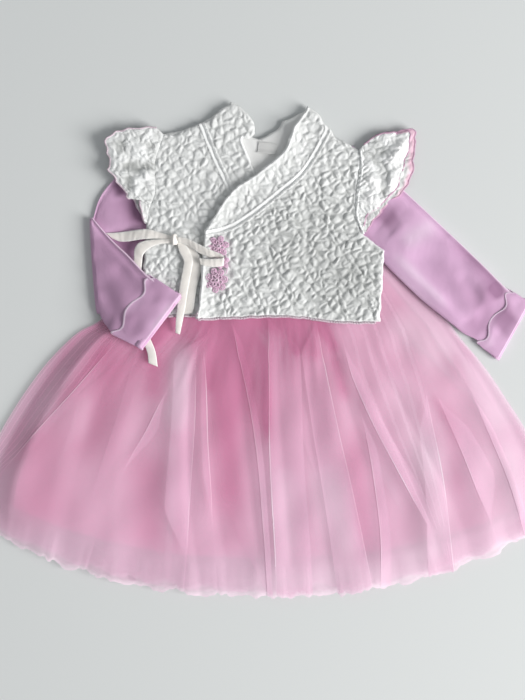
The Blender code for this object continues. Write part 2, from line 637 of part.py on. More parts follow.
def build_vest(collection, cutters):
    """Back, wrap fronts, collar bands and the two layers of each cap sleeve."""
    build_vest_back(collection, cutters)
    quilted_panel("vest_front_left", LEFT_FRONT, left_front_low, uncovered, collection, cutters)
    quilted_panel("collar_left", LEFT_COLLAR, left_front_low, uncovered, collection, cutters)
    quilted_panel("vest_front_right", RIGHT_FRONT, right_front_low, everywhere, collection, cutters)
    quilted_panel("collar_right", RIGHT_COLLAR, right_front_low, everywhere, collection, cutters)
    cap_sleeve("cap_sleeve_left_back", LEFT_CAP_SEAM, LEFT_CAP_BACK, "back", collection)
    cap_sleeve("cap_sleeve_left_front", LEFT_CAP_SEAM, LEFT_CAP_FRONT, "front", collection)
    cap_sleeve("cap_sleeve_right_back", RIGHT_CAP_SEAM, RIGHT_CAP_BACK, "back", collection)
    cap_sleeve("cap_sleeve_right_front", RIGHT_CAP_SEAM, RIGHT_CAP_FRONT, "front", collection)


# Sleeves

def flat_ring(upper, lower, half, normal=None):
    """A flattened ring between two edge points, over the top and back underneath."""
    a, b = np.array(upper, dtype=float), np.array(lower, dtype=float)
    up = np.array((0.0, 0.0, 1.0)) if normal is None else normal
    top = [a + (b - a) * v + up * half * e for v, e in RING_PLACES]
    bottom = [a + (b - a) * v - up * half * e for v, e in reversed(RING_PLACES[1:-1])]
    return top + bottom


def sleeve_ring(station):
    ax, ay, az, bx, by, bz, half = station
    return flat_ring((ax, ay, az + half), (bx, by, bz + half), half)


def inside_cuff(cuff, half):
    """The sleeve's last stations, inside its turned-back cuff and ending just short of its edge."""
    grow = CLOTH + SEAM
    stations = []
    for ax, ay, az, bx, by, bz in cuff:
        a, b = np.array((ax, ay, az + grow)), np.array((bx, by, bz + grow))
        inward = (b - a) / np.linalg.norm(b - a) * CUFF_INSET
        stations.append([a + inward, b - inward])
    for k in range(2):
        step = stations[-1][k] - stations[-2][k]
        stations[-1][k] = stations[-1][k] - step / np.linalg.norm(step) * CUFF_END
    return [(*a, *b, half - grow) for a, b in stations]


def build_right_sleeve(collection):
    stations = RIGHT_SLEEVE + tuple(inside_cuff(RIGHT_CUFF, RIGHT_CUFF_HALF))
    cloth_tube("sleeve_right", [sleeve_ring(s) for s in stations], CLOTH, "pink_knit", collection)


def build_left_sleeve(collection):
    """The sleeve lies down to the elbow, turns over there, and comes back across itself."""
    ax, ay, bx, by, half = LEFT_FOLD
    middle = 2 * half + FOLD_GAP
    rings = [sleeve_ring(s) for s in LEFT_UPPER_ARM]
    for degrees in FOLD_TURNS:
        turn = math.radians(degrees)
        normal = np.array((math.sin(turn), 0.0, math.cos(turn)))
        away = -(half + FOLD_GAP) * normal
        rings.append(flat_ring(np.array((ax, ay, middle)) + away, np.array((bx, by, middle)) + away, half,
                               normal))
    flipped = np.array((0.0, 0.0, -1.0))
    for x, y, z, lx, ly, lz, h in LEFT_FOREARM + tuple(inside_cuff(LEFT_CUFF, LEFT_CUFF_HALF)):
        rings.append(flat_ring((x, y, z + h), (lx, ly, lz + h), h, flipped))
    cloth_tube("sleeve_left", rings, CLOTH, "pink_knit", collection)


def build_cuff(name, stations, half, collection):
    """A turned-back cuff. Its free edge waves along the sleeve."""
    rings = []
    for ax, ay, az, bx, by, bz in stations:
        rings.append([np.array(p) for p in flat_ring((ax, ay, az + half), (bx, by, bz + half), half)])
    along = np.array(stations[1][:3]) - np.array(stations[0][:3])
    along /= np.linalg.norm(along)
    for c, point in enumerate(rings[0]):
        point += along * CUFF_WAVE * (0.5 + 0.5 * math.sin(2 * math.pi * CUFF_WAVES * c / len(rings[0])))
    cloth_tube(name, rings, CLOTH, "pink_knit", collection)


# Small pieces

def build_ribbons(collection):
    """The tie's five strands and the knot that holds them."""
    strands = {"ribbon_end_left": RIBBON_END, "ribbon_tail_side": RIBBON_SIDE, "ribbon_loop": RIBBON_LOOP,
               "ribbon_tail_front": RIBBON_TAIL_FRONT, "ribbon_tail_back": RIBBON_TAIL_BACK}
    for name, table in strands.items():
        edges = smooth_line(table, 2 * len(table) - 1)
        rows = [((e[0], e[1], e[2]), ((e[0] + e[3]) / 2, (e[1] + e[4]) / 2, (e[2] + e[5]) / 2),
                 (e[3], e[4], e[5])) for e in edges]
        cloth_sheet(name, rows, RIBBON, "ivory_ribbon", collection)
    bpy.ops.mesh.primitive_cube_add(size=1.0)
    knot = bpy.context.object
    knot.name = knot.data.name = "ribbon_knot"
    knot.data.transform(Matrix.Diagonal((*(side * MM for side in KNOT_SIZE), 1.0)))
    knot.location = Vector(KNOT_CENTRE) * MM
    knot.data.materials.append(fabric("ribbon_knot", "ivory_ribbon"))
    for other in list(knot.users_collection):
        other.objects.unlink(knot)
    collection.objects.link(knot)
    edge = knot.modifiers.new("soft edges", "BEVEL")
    edge.width = KNOT_ROUND * MM
    edge.segments = KNOT_SEGMENTS


def build_flower(name, centre_x, centre_y, half_x, half_y, collection):
    """A thick lace flower on the right front, with petals round a raised middle."""
    around = 4 * FLOWER_PETALS
    points = [(centre_x, centre_y, vest_rest(centre_y) + FLOWER_LIFT + FLOWER_MIDDLE)]
    for reach, height, petal in FLOWER_RINGS:
        for k in range(around):
            angle = 2 * math.pi * k / around
            wave = math.cos(FLOWER_PETALS * angle)
            radius = reach * (1 + PETAL_REACH * wave * reach)
            x, y = centre_x + half_x * radius * math.cos(angle), centre_y + half_y * radius * math.sin(angle)
            points.append((x, y, vest_rest(y) + FLOWER_LIFT + height + petal * wave))
    last = 1 + 2 * around
    points += [(x, y, vest_rest(y) + FLOWER_LIFT) for x, y, _ in points[last:last + around]]
    faces = [(0, 1 + k, 1 + (k + 1) % around) for k in range(around)]
    faces += grid_faces(4, around, around=True, start=1)
    faces = faces[:around] + [face[::-1] for face in faces[around:]]
    faces.append(tuple(reversed(range(1 + 3 * around, 1 + 4 * around))))
    add_object(name, points, facing_out(points, faces), "lilac_lace", collection)


def build_label(collection):
    """A small blank label, slightly askew."""
    half_x, half_y = LABEL_SIZE[0] / 2, LABEL_SIZE[1] / 2
    turn, back = math.cos(LABEL_TILT), math.sin(LABEL_TILT)
    corners = [(LABEL_CENTRE[0] + x * turn - y * back, LABEL_CENTRE[1] + x * back + y * turn)
               for x, y in ((-half_x, -half_y), (half_x, -half_y), (half_x, half_y), (-half_x, half_y))]
    low = VEST_LOW + QUILT_BASE + SEAM
    outline_prism("neck_label", corners, low, low + LABEL_THICK, "label_tape", collection)


def build_bodice(collection):
    outline_prism("bodice_back", BODICE, 0.0, CLOTH, "pink_knit", collection)
    outline_prism("bodice_front", BODICE, CLOTH + SEAM, 2 * CLOTH + SEAM, "pink_knit", collection)


def main():
    """Build every piece in its own collection, with the cutting outlines in another."""
    for obj in list(bpy.data.objects):
        bpy.data.objects.remove(obj)
    garment = bpy.data.collections.new("hanbok")
    cutters = bpy.data.collections.new("cutters")
    for collection in (garment, cutters):
        bpy.context.scene.collection.children.link(collection)
    build_bodice(garment)
    build_skirt(garment)
    build_vest(garment, cutters)
    build_right_sleeve(garment)
    build_left_sleeve(garment)
    build_cuff("cuff_right", RIGHT_CUFF, RIGHT_CUFF_HALF, garment)
    build_cuff("cuff_left", LEFT_CUFF, LEFT_CUFF_HALF, garment)
    build_ribbons(garment)
    for name, place in FLOWERS.items():
        build_flower(name, *place, garment)
    build_label(garment)


main()
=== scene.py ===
"""Looks of a toddler's hanbok laid flat: a knit dress with a net skirt under a quilted wrap vest.

Lengths are in millimetres and become metres when a mesh is made. X runs across the garment, Y towards the
neck and Z up from the surface it lies on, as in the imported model. Each piece a maker would cut is a class or
an object of one, built as a thin shell on the form of its solid and dressed in its own cloth.
"""

import functools
import logging
import math
import random
from dataclasses import dataclass, field
from enum import Enum
from typing import Callable, Iterable, Sequence

import bpy
import numpy as np
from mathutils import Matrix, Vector, geometry


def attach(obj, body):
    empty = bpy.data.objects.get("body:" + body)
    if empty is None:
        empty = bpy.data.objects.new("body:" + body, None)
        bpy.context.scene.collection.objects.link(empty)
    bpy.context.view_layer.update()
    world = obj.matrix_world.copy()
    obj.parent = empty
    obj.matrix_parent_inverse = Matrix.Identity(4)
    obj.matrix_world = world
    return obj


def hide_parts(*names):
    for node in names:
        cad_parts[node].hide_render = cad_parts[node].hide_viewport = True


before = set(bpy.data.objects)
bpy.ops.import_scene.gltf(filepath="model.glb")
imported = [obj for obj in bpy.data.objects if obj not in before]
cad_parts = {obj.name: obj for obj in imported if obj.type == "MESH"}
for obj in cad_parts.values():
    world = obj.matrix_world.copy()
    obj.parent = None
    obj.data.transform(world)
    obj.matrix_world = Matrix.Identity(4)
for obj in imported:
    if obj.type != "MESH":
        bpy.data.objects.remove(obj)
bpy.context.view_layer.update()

LOG = logging.getLogger("hanbok")
MM = 0.001
BODY = "root"

Array = np.ndarray
Colour = tuple[float, float, float]
Row = tuple[float, ...]
Table = Sequence[Row]
Faces = list[tuple[int, ...]]
Height = Callable[[Array, Array], Array]


class Held(Enum):
    """How a sheet of cloth is held."""

    LAID = "laid"
    GATHERED = "gathered"
    FOLDED = "folded"


@dataclass(frozen=True)
class Finishing:
    """A finished edge: a bead beside it, flat cloth as far as the full quilting, and a painted highlight along
    it.

    Distances are in from the edge. The bead's height varies by a share of itself over a wavelength.
    """

    bead: float
    bead_at: float
    bead_width: float
    uneven: float
    wavelength: float
    seed: int
    flat_to: float
    full_from: float
    # The painted highlight along the edge: its strength, its distance in from the edge and its half width.
    bright: float
    bright_at: float
    bright_width: float


class Edge(Enum):
    """How the edge of a quilted panel is finished."""

    ROLLED = Finishing(1.7, 1.6, 1.2, 0.35, 9.0, 61, 1.5, 4.0, 0.9, 0.0, 2.0)
    OVERLOCKED = Finishing(0.8, 0.9, 0.8, 0.5, 7.0, 63, 0.6, 2.4, 0.8, 0.0, 1.3)
    DOUBLE_STITCHED = Finishing(1.5, 2.6, 1.1, 0.25, 7.0, 62, 3.2, 5.4, 0.9, 2.6, 1.1)


# Plain geometry


def soft_step(value: Array | float, start: float, end: float) -> Array:
    """Return 0 before start and 1 after end, with soft ends."""
    x = np.clip((np.asarray(value, dtype=float) - start) / (end - start), 0.0, 1.0)
    return x * x * (3 - 2 * x)


def smooth_line(points: Iterable[Row], count: int) -> Array:
    """Lay evenly spaced points on a smooth curve.

    Args:
        points: Places that the curve passes through, of any number of values each.
        count: Number of points to return.

    Returns:
        An array of count rows.
    """
    pts = np.array(list(points), dtype=float)
    ends = np.vstack([2 * pts[0] - pts[1], pts, 2 * pts[-1] - pts[-2]])
    dense = []
    for k in range(len(pts) - 1):
        p0, p1, p2, p3 = ends[k:k + 4]
        for u in np.linspace(0, 1, 24, endpoint=False):
            dense.append(0.5 * (2 * p1 + (p2 - p0) * u + (2 * p0 - 5 * p1 + 4 * p2 - p3) * u * u
                                + (3 * p1 - p0 - 3 * p2 + p3) * u ** 3))
    dense.append(pts[-1])
    curve = np.array(dense)
    run = np.concatenate([[0], np.cumsum(np.linalg.norm(np.diff(curve, axis=0), axis=1))])
    at = np.linspace(0, run[-1], count)
    return np.stack([np.interp(at, run, curve[:, axis]) for axis in range(curve.shape[1])], axis=1)


def line_length(line: Array) -> float:
    """Return the length of a line of points."""
    return float(np.linalg.norm(np.diff(line, axis=0), axis=1).sum())


def line_distance(x: Array, y: Array, line: Array) -> Array:
    """Measure how far places are from a line of points.

    Args:
        x: Places across.
        y: Places along.
        line: Points of the line.

    Returns:
        The distance of each place.
    """
    best = np.full(np.shape(x), 1e9)
    for (ax, ay), (bx, by) in zip(line[:-1, :2], line[1:, :2]):
        dx, dy = bx - ax, by - ay
        u = np.clip(((x - ax) * dx + (y - ay) * dy) / max(dx * dx + dy * dy, 1e-9), 0, 1)
        best = np.minimum(best, np.hypot(x - ax - u * dx, y - ay - u * dy))
    return best


def is_inside(x: Array, y: Array, outline: Array) -> Array:
    """Find the places inside a closed outline.

    Args:
        x: Places across.
        y: Places along.
        outline: Points of the outline.

    Returns:
        True for each place inside it.
    """
    inside = np.zeros(x.shape, dtype=bool)
    for (ax, ay), (bx, by) in zip(outline, np.roll(outline, -1, axis=0)):
        crosses = (ay > y) != (by > y)
        at = (bx - ax) * (y - ay) / (by - ay if by != ay else 1e-9) + ax
        inside ^= crosses & (x < at)
    return inside


def outline_area(outline: Array) -> float:
    """Return the area inside a closed outline."""
    x, y = outline[:, 0], outline[:, 1]
    return abs(float(np.dot(x, np.roll(y, -1)) - np.dot(y, np.roll(x, -1)))) / 2


def ripples(x: Array, y: Array, wavelength: float, seed: int, count: int = 9) -> Array:
    """Give a soft uneven height from about -1 to 1.

    Args:
        x: Places across.
        y: Places along.
        wavelength: Mean distance between two crests.
        seed: Picks the pattern.
        count: Number of wave trains that are added up.

    Returns:
        One height for each place.
    """
    rng = np.random.default_rng(seed)
    total = np.zeros(np.shape(x))
    for _ in range(count):
        angle = rng.uniform(0, 2 * math.pi)
        phase = rng.uniform(0, 2 * math.pi)
        stretch = rng.uniform(0.7, 1.4)
        k = 2 * math.pi / (wavelength * stretch)
        total += np.sin(k * (x * math.cos(angle) + y * math.sin(angle)) + phase)
    return total / math.sqrt(count) / 1.2


@dataclass(frozen=True)
class Crease:
    """A soft ridge, or a trough where its height is below 0, along a short line."""

    x0: float
    y0: float
    x1: float
    y1: float
    width: float
    height: float

    def lift(self, x: Array, y: Array) -> Array:
        """Give the crease's own height.

        Args:
            x: Places across.
            y: Places along.

        Returns:
            What it adds at each place.
        """
        dx, dy = self.x1 - self.x0, self.y1 - self.y0
        along = ((x - self.x0) * dx + (y - self.y0) * dy) / (dx * dx + dy * dy)
        u = np.clip(along, 0, 1)
        away = np.hypot(x - self.x0 - u * dx, y - self.y0 - u * dy)
        ends = soft_step(along, -0.15, 0.25) * (1 - soft_step(along, 0.75, 1.15))
        return self.height * np.exp(-(away / self.width) ** 2) * ends


def creases_lift(x: Array, y: Array, creases: Table) -> Array:
    """Add up the creases of a piece.

    Args:
        x: Places across.
        y: Places along.
        creases: A row of Crease's values for each.

    Returns:
        The height that they add at each place.
    """
    total = np.zeros(np.shape(x))
    for row in creases:
        total += Crease(*row).lift(x, y)
    return total


def grid_faces(rows: int, columns: int, around: bool = False) -> Faces:
    """List the quads of a grid of points.

    Args:
        rows: Number of rows.
        columns: Number of points in a row.
        around: True where each row closes into a ring.

    Returns:
        The faces.
    """
    across = columns if around else columns - 1
    faces = []
    for r in range(rows - 1):
        for c in range(across):
            a, b = r * columns + c, r * columns + (c + 1) % columns
            faces.append((a, b, b + columns, a + columns))
    return faces


def facing_up(faces: Faces, grid: Array) -> Faces:
    """Turn a grid's faces over where they face down.

    Args:
        faces: The faces.
        grid: The grid's points, row by row.

    Returns:
        The faces, facing up.
    """
    start = Vector(grid[0, 0])
    down = (Vector(grid[0, 1]) - start).cross(Vector(grid[1, 0]) - start).z < 0
    return [face[::-1] for face in faces] if down else faces


def wall_faces(upper: Sequence[tuple[int, ...]], count: int) -> Faces:
    """List the faces of a closed wall.

    Args:
        upper: Its upper faces, which face up.
        count: Number of points in its upper side, which its lower side repeats in the same order.

    Returns:
        The upper faces, the lower ones and the rim between them.
    """
    directed = {edge for face in upper for edge in zip(face, face[1:] + face[:1])}
    rim_and_painted_highlight = [(b, a, a + count, b + count) for a, b in sorted(directed) if (b, a) not in directed]
    lower = [tuple(count + k for k in face[::-1]) for face in upper]
    return [*upper, *lower, *rim_and_painted_highlight]


# Finishes


@dataclass
class ShaderTree:
    """A short way to add nodes and links to a shader tree."""

    tree: bpy.types.NodeTree

    def add(self, kind: str, inputs: dict | None = None, **settings: object) -> bpy.types.Node:
        """Add a node.

        Args:
            kind: The node's type.
            inputs: For each input, a value or another node's output socket.
            settings: Properties of the node itself.

        Returns:
            The new node.
        """
        node = self.tree.nodes.new(kind)
        for key, value in settings.items():
            setattr(node, key, value)
        for key, value in (inputs or {}).items():
            if isinstance(value, bpy.types.NodeSocket):
                self.tree.links.new(value, node.inputs[key])
            else:
                node.inputs[key].default_value = value
        return node

    def math(self, operation: str, first: object, second: object = 0.0) -> bpy.types.NodeSocket:
        """Add a sum, product or other plain operation and return its result."""
        return self.add("ShaderNodeMath", {0: first, 1: second}, operation=operation).outputs[0]

    def mix(self, share: object, first: object, second: object) -> bpy.types.NodeSocket:
        """Mix two colours and return the result."""
        return self.add("ShaderNodeMix", {0: share, 6: first, 7: second}, data_type="RGBA").outputs[2]

    def value_of(self, name: str) -> bpy.types.NodeSocket:
        """Return a named value of the mesh's points as a number."""
        return self.add("ShaderNodeAttribute", attribute_name=name).outputs["Fac"]

    def places(self) -> bpy.types.NodeSocket:
        """Return the place on the flat cloth, in metres, of each point."""
        return self.add("ShaderNodeAttribute", attribute_name="cloth").outputs["Vector"]


def shader_group(name: str, inputs: dict[str, str], outputs: dict[str, str]) -> tuple[ShaderTree, dict, dict]:
    """Start a shader node group.

    Args:
        name: The group's name.
        inputs: Socket type of each input, by name.
        outputs: Socket type of each output, by name.

    Returns:
        The group's tree, its input sockets and its output sockets, both by name.
    """
    group = bpy.data.node_groups.new(name, "ShaderNodeTree")
    for way, sockets in (("INPUT", inputs), ("OUTPUT", outputs)):
        for label, kind in sockets.items():
            group.interface.new_socket(label, in_out=way, socket_type=kind)
    tree = ShaderTree(group)
    start = tree.add("NodeGroupInput")
    end = tree.add("NodeGroupOutput")
    return tree, {n: start.outputs[n] for n in inputs}, {n: end.inputs[n] for n in outputs}


FLOAT, RGBA, VECTOR = "NodeSocketFloat", "NodeSocketColor", "NodeSocketVector"
CELL_UNEVENNESS = 0.15
THREAD_SHARE = 0.13


@functools.cache
def tone_and_painted_light_group() -> bpy.types.NodeTree:
    """Make the group that tints a cloth: painted shade in hollows and creases, lighter rims and painted
    highlights, and uneven in patches.

    Returns:
        The group.
    """
    tree, given, out = shader_group(
        "cloth_tone_and_painted_light", {"Place": VECTOR, "Base": RGBA, "Hollow Colour": RGBA, "Rim Colour": RGBA,
                       "Hollow": FLOAT, "Rim": FLOAT, "Patch Size": FLOAT, "Patchiness": FLOAT},
        {"Colour": RGBA})
    per_metre = tree.math("DIVIDE", 1.0, given["Patch Size"])
    noise = tree.add("ShaderNodeTexNoise", {"Vector": given["Place"], "Scale": per_metre, "Detail": 3.0})
    patch = tree.math("MULTIPLY", noise.outputs[0], given["Patchiness"])
    # Mix towards the painted shade colour by the painted shade value plus random patches, then towards the
    # lighter colour by the value for rims and painted highlights.
    shaded = tree.mix(tree.math("ADD", given["Hollow"], patch), given["Base"], given["Hollow Colour"])
    tree.tree.links.new(tree.mix(given["Rim"], shaded, given["Rim Colour"]), out["Colour"])
    return tree.tree


@functools.cache
def relief_group() -> bpy.types.NodeTree:
    """Make the group that gives a cloth its threads and fine wrinkles.

    Returns:
        The group, which puts out a height in millimetres.
    """
    tree, given, out = shader_group(
        "cloth_relief", {"Place": VECTOR, "Thread Pitch": FLOAT, "Thread Depth": FLOAT,
                         "Wrinkle Size": FLOAT, "Wrinkle Depth": FLOAT}, {"Height": FLOAT})
    turn = tree.math("DIVIDE", 2 * math.pi, given["Thread Pitch"])
    parts = tree.add("ShaderNodeSeparateXYZ", {0: given["Place"]})
    across = tree.math("SINE", tree.math("MULTIPLY", parts.outputs["X"], turn))
    along = tree.math("SINE", tree.math("MULTIPLY", parts.outputs["Y"], turn))
    threads = tree.math("MULTIPLY", tree.math("MULTIPLY", across, along), given["Thread Depth"])
    size = tree.math("DIVIDE", 1.0, given["Wrinkle Size"])
    noise = tree.add("ShaderNodeTexNoise", {"Vector": given["Place"], "Scale": size, "Detail": 4.0})
    wrinkles = tree.math("MULTIPLY", noise.outputs[0], given["Wrinkle Depth"])
    tree.tree.links.new(tree.math("ADD", threads, wrinkles), out["Height"])
    return tree.tree


@functools.cache
def cover_group() -> bpy.types.NodeTree:
    """Make the group that says how much a net covers: threads, holes and doubled rims.

    Returns:
        The group.
    """
    tree, given, out = shader_group(
        "net_cover", {"Place": VECTOR, "Cell": FLOAT, "Hole": FLOAT, "Thread": FLOAT, "Rim": FLOAT,
                      "Rim Cover": FLOAT}, {"Cover": FLOAT})
    per_metre = tree.math("DIVIDE", 1.0, given["Cell"])
    cells = tree.add("ShaderNodeTexVoronoi",
                     {"Vector": given["Place"], "Scale": per_metre, "Randomness": CELL_UNEVENNESS},
                     feature="DISTANCE_TO_EDGE", voronoi_dimensions="2D")
    thread = tree.math("LESS_THAN", cells.outputs["Distance"], THREAD_SHARE)
    plain = tree.math("ADD", given["Hole"], tree.math("MULTIPLY", thread, given["Thread"]))
    doubled = tree.math("ADD", plain, tree.math("MULTIPLY", given["Rim"], given["Rim Cover"]))
    tree.tree.links.new(tree.math("MINIMUM", doubled, 1.0), out["Cover"])
    return tree.tree


@dataclass(frozen=True)
class ClothFinish:
    """An opaque cloth: its colours, with painted shade and painted highlights, how it shines, and its threads
    and fine wrinkles in millimetres.
    """

    name: str
    slot: str
    base: Colour
    painted_shade: Colour
    rim_and_painted_highlight: Colour
    roughness: float = 0.9
    sheen: float = 0.0
    specular: float = 0.3
    patch: float = 40.0
    patchiness: float = 0.15
    thread_pitch: float = 0.9
    thread_depth: float = 0.05
    wrinkle_size: float = 5.0
    wrinkle_depth: float = 0.3

    def build(self) -> bpy.types.Material:
        """Return the material, which every piece in this cloth shares."""
        return cloth_material(self)


def tinted_material(finish: "Finish") -> tuple[bpy.types.Material, ShaderTree, bpy.types.Node]:
    """Start a cloth's material with its tint, painted shade and painted highlights.

    Args:
        finish: Its colours and sizes.

    Returns:
        The material, its tree and its shader.
    """
    material = bpy.data.materials.new(finish.name)
    material.use_nodes = True
    material.diffuse_color = (*finish.base, 1.0)
    tree = ShaderTree(material.node_tree)
    shader = material.node_tree.nodes["Principled BSDF"]
    tone = tree.add("ShaderNodeGroup", {
        "Place": tree.places(), "Hollow": tree.value_of("painted_shade"), "Rim": tree.value_of("rim_and_painted_highlight"),
        "Base": (*finish.base, 1), "Hollow Colour": (*finish.painted_shade, 1), "Rim Colour": (*finish.rim_and_painted_highlight, 1),
        "Patch Size": finish.patch * MM, "Patchiness": finish.patchiness}, node_tree=tone_and_painted_light_group())
    material.node_tree.links.new(tone.outputs["Colour"], shader.inputs["Base Color"])
    return material, tree, shader


@functools.cache
def cloth_material(finish: ClothFinish) -> bpy.types.Material:
    """Make the material of an opaque cloth.

    Args:
        finish: Its colours and sizes.

    Returns:
        The material.
    """
    material, tree, shader = tinted_material(finish)
    for label, value in (("Roughness", finish.roughness), ("Sheen Weight", finish.sheen),
                         ("Sheen Roughness", 0.4), ("Specular IOR Level", finish.specular)):
        shader.inputs[label].default_value = value
    relief = tree.add("ShaderNodeGroup", {
        "Place": tree.places(), "Thread Pitch": finish.thread_pitch * MM, "Thread Depth": finish.thread_depth,
        "Wrinkle Size": finish.wrinkle_size * MM, "Wrinkle Depth": finish.wrinkle_depth},
        node_tree=relief_group())
    bump = tree.add("ShaderNodeBump", {"Height": relief.outputs["Height"], "Distance": MM})
    material.node_tree.links.new(bump.outputs["Normal"], shader.inputs["Normal"])
    return material


@dataclass(frozen=True)
class NetFinish:
    """A see-through net: its colours, with painted shade and painted highlights, the size of its holes, and
    how much threads and holes cover.
    """

    name: str
    slot: str
    base: Colour
    painted_shade: Colour
    rim_and_painted_highlight: Colour
    hole_cover: float
    thread_cover: float
    rim_cover: float
    cell: float = 1.0
    patch: float = 120.0
    patchiness: float = 0.25

    def build(self) -> bpy.types.Material:
        """Return the material, which every layer of this net shares."""
        return net_material(self)


@functools.cache
def net_material(finish: NetFinish) -> bpy.types.Material:
    """Make the material of a see-through net.

    Args:
        finish: Its colours, cell size and cover.

    Returns:
        The material.
    """
    material, tree, shader = tinted_material(finish)
    shader.inputs["Roughness"].default_value = 0.9
    shader.inputs["Specular IOR Level"].default_value = 0.1
    cover = tree.add("ShaderNodeGroup", {
        "Place": tree.places(), "Rim": tree.value_of("rim_and_painted_highlight"), "Cell": finish.cell * MM,
        "Hole": finish.hole_cover, "Thread": finish.thread_cover, "Rim Cover": finish.rim_cover},
        node_tree=cover_group())
    material.node_tree.links.new(cover.outputs["Cover"], shader.inputs["Alpha"])
    return material


Finish = ClothFinish | NetFinish

# Each cloth lists its own colour, then the colour of its painted shade, then the lighter colour of its rims
# and painted highlights.
KNIT = ClothFinish("pink_jersey", "pink_knit", (0.78, 0.49, 0.72), (0.36, 0.19, 0.32), (0.95, 0.76, 0.92),
                   sheen=0.25, patch=60, patchiness=0.12, thread_pitch=0.8, thread_depth=0.05,
                   wrinkle_size=14, wrinkle_depth=0.5)
LINING = ClothFinish("pink_lining", "pink_lining", (0.96, 0.52, 0.72), (0.66, 0.17, 0.35), (0.97, 0.72, 0.85),
                     roughness=0.75, patch=80, patchiness=0.25, thread_pitch=0.6, thread_depth=0.03,
                     wrinkle_size=20, wrinkle_depth=0.5)
QUILT = ClothFinish("white_crinkle_quilting", "white_quilt", (0.86, 0.87, 0.865), (0.50, 0.51, 0.50),
                    (0.94, 0.95, 0.95), patch=25, patchiness=0.1, thread_pitch=0.7, thread_depth=0.06,
                    wrinkle_size=2.6, wrinkle_depth=0.4)
# A painted pink reflection: the rims and painted highlights of the right cap sleeve's shaded back layer turn
# pink.
PINK_REFLECTION_QUILT = ClothFinish("white_quilting_painted_pink_reflection", "white_quilt", (0.86, 0.87, 0.865), (0.50, 0.51, 0.50),
                           (0.80, 0.46, 0.60), patch=25, wrinkle_size=2.6, wrinkle_depth=0.55)
# A lighter copy of the quilting: painted light on the right cap sleeve's front layer, which faces the lamp.
LIT_QUILT = ClothFinish("white_quilting_painted_light", "white_quilt", (0.97, 0.98, 0.98), (0.56, 0.57, 0.56),
                        (1.0, 1.0, 1.0), patch=25, patchiness=0.08, wrinkle_size=2.6, wrinkle_depth=0.4)
GREY = ClothFinish("grey_vest_lining", "grey_lining", (0.93, 0.93, 0.92), (0.50, 0.50, 0.49), (0.8, 0.8, 0.8),
                   thread_pitch=0.5, thread_depth=0.03, wrinkle_size=12, wrinkle_depth=0.3)
SATIN = ClothFinish("ivory_satin", "ivory_ribbon", (0.95, 0.91, 0.86), (0.74, 0.68, 0.66), (0.98, 0.97, 0.94),
                    roughness=0.42, sheen=0.1, specular=0.5, patch=20, patchiness=0.2, thread_pitch=0.35,
                    thread_depth=0.02, wrinkle_size=8, wrinkle_depth=0.15)
LACE = ClothFinish("lilac_crochet", "lilac_lace", (0.97, 0.68, 0.86), (0.72, 0.42, 0.62), (0.98, 0.84, 0.93),
                   patch=5, patchiness=0.4, thread_pitch=0.5, thread_depth=0.12, wrinkle_size=1.2,
                   wrinkle_depth=0.3)
THREAD = ClothFinish("pink_overlock_thread", "pink_knit", (0.78, 0.50, 0.66), (0.60, 0.32, 0.50),
                     (0.88, 0.70, 0.80), thread_pitch=0.6, thread_depth=0.15, wrinkle_size=1.5)
PALE_THREAD = ClothFinish("pale_overlock_thread", "pink_knit", (0.93, 0.78, 0.86), (0.70, 0.50, 0.62),
                          (0.92, 0.86, 0.89), thread_pitch=0.6, thread_depth=0.15, wrinkle_size=1.5)
WHITE_THREAD = ClothFinish("white_sewing_thread", "white_quilt", (0.84, 0.84, 0.83), (0.7, 0.7, 0.69),
                           (0.9, 0.9, 0.9), thread_pitch=0.3, thread_depth=0.05)
TAPE = ClothFinish("blank_label_tape", "label_tape", (0.74, 0.74, 0.73), (0.6, 0.6, 0.6), (0.86, 0.86, 0.85),
                   roughness=0.6, thread_pitch=0.4, thread_depth=0.03)
NET = NetFinish("pink_net", "pink_net", (1.0, 0.71, 0.88), (0.82, 0.33, 0.54), (1.0, 0.90, 0.97),
                hole_cover=0.34, thread_cover=0.14, rim_cover=0.62)
UNDER_NET = NetFinish("pink_under_net", "pink_net", (1.0, 0.69, 0.87), (0.80, 0.29, 0.50),
                      (1.0, 0.88, 0.96), hole_cover=0.3, thread_cover=0.14, rim_cover=0.4)
HEM_NET = NetFinish("pink_back_net", "pink_net", (1.0, 0.85, 0.94), (0.84, 0.46, 0.64), (0.99, 0.92, 0.97),
                    hole_cover=0.25, thread_cover=0.16, rim_cover=0.3)


# Making pieces


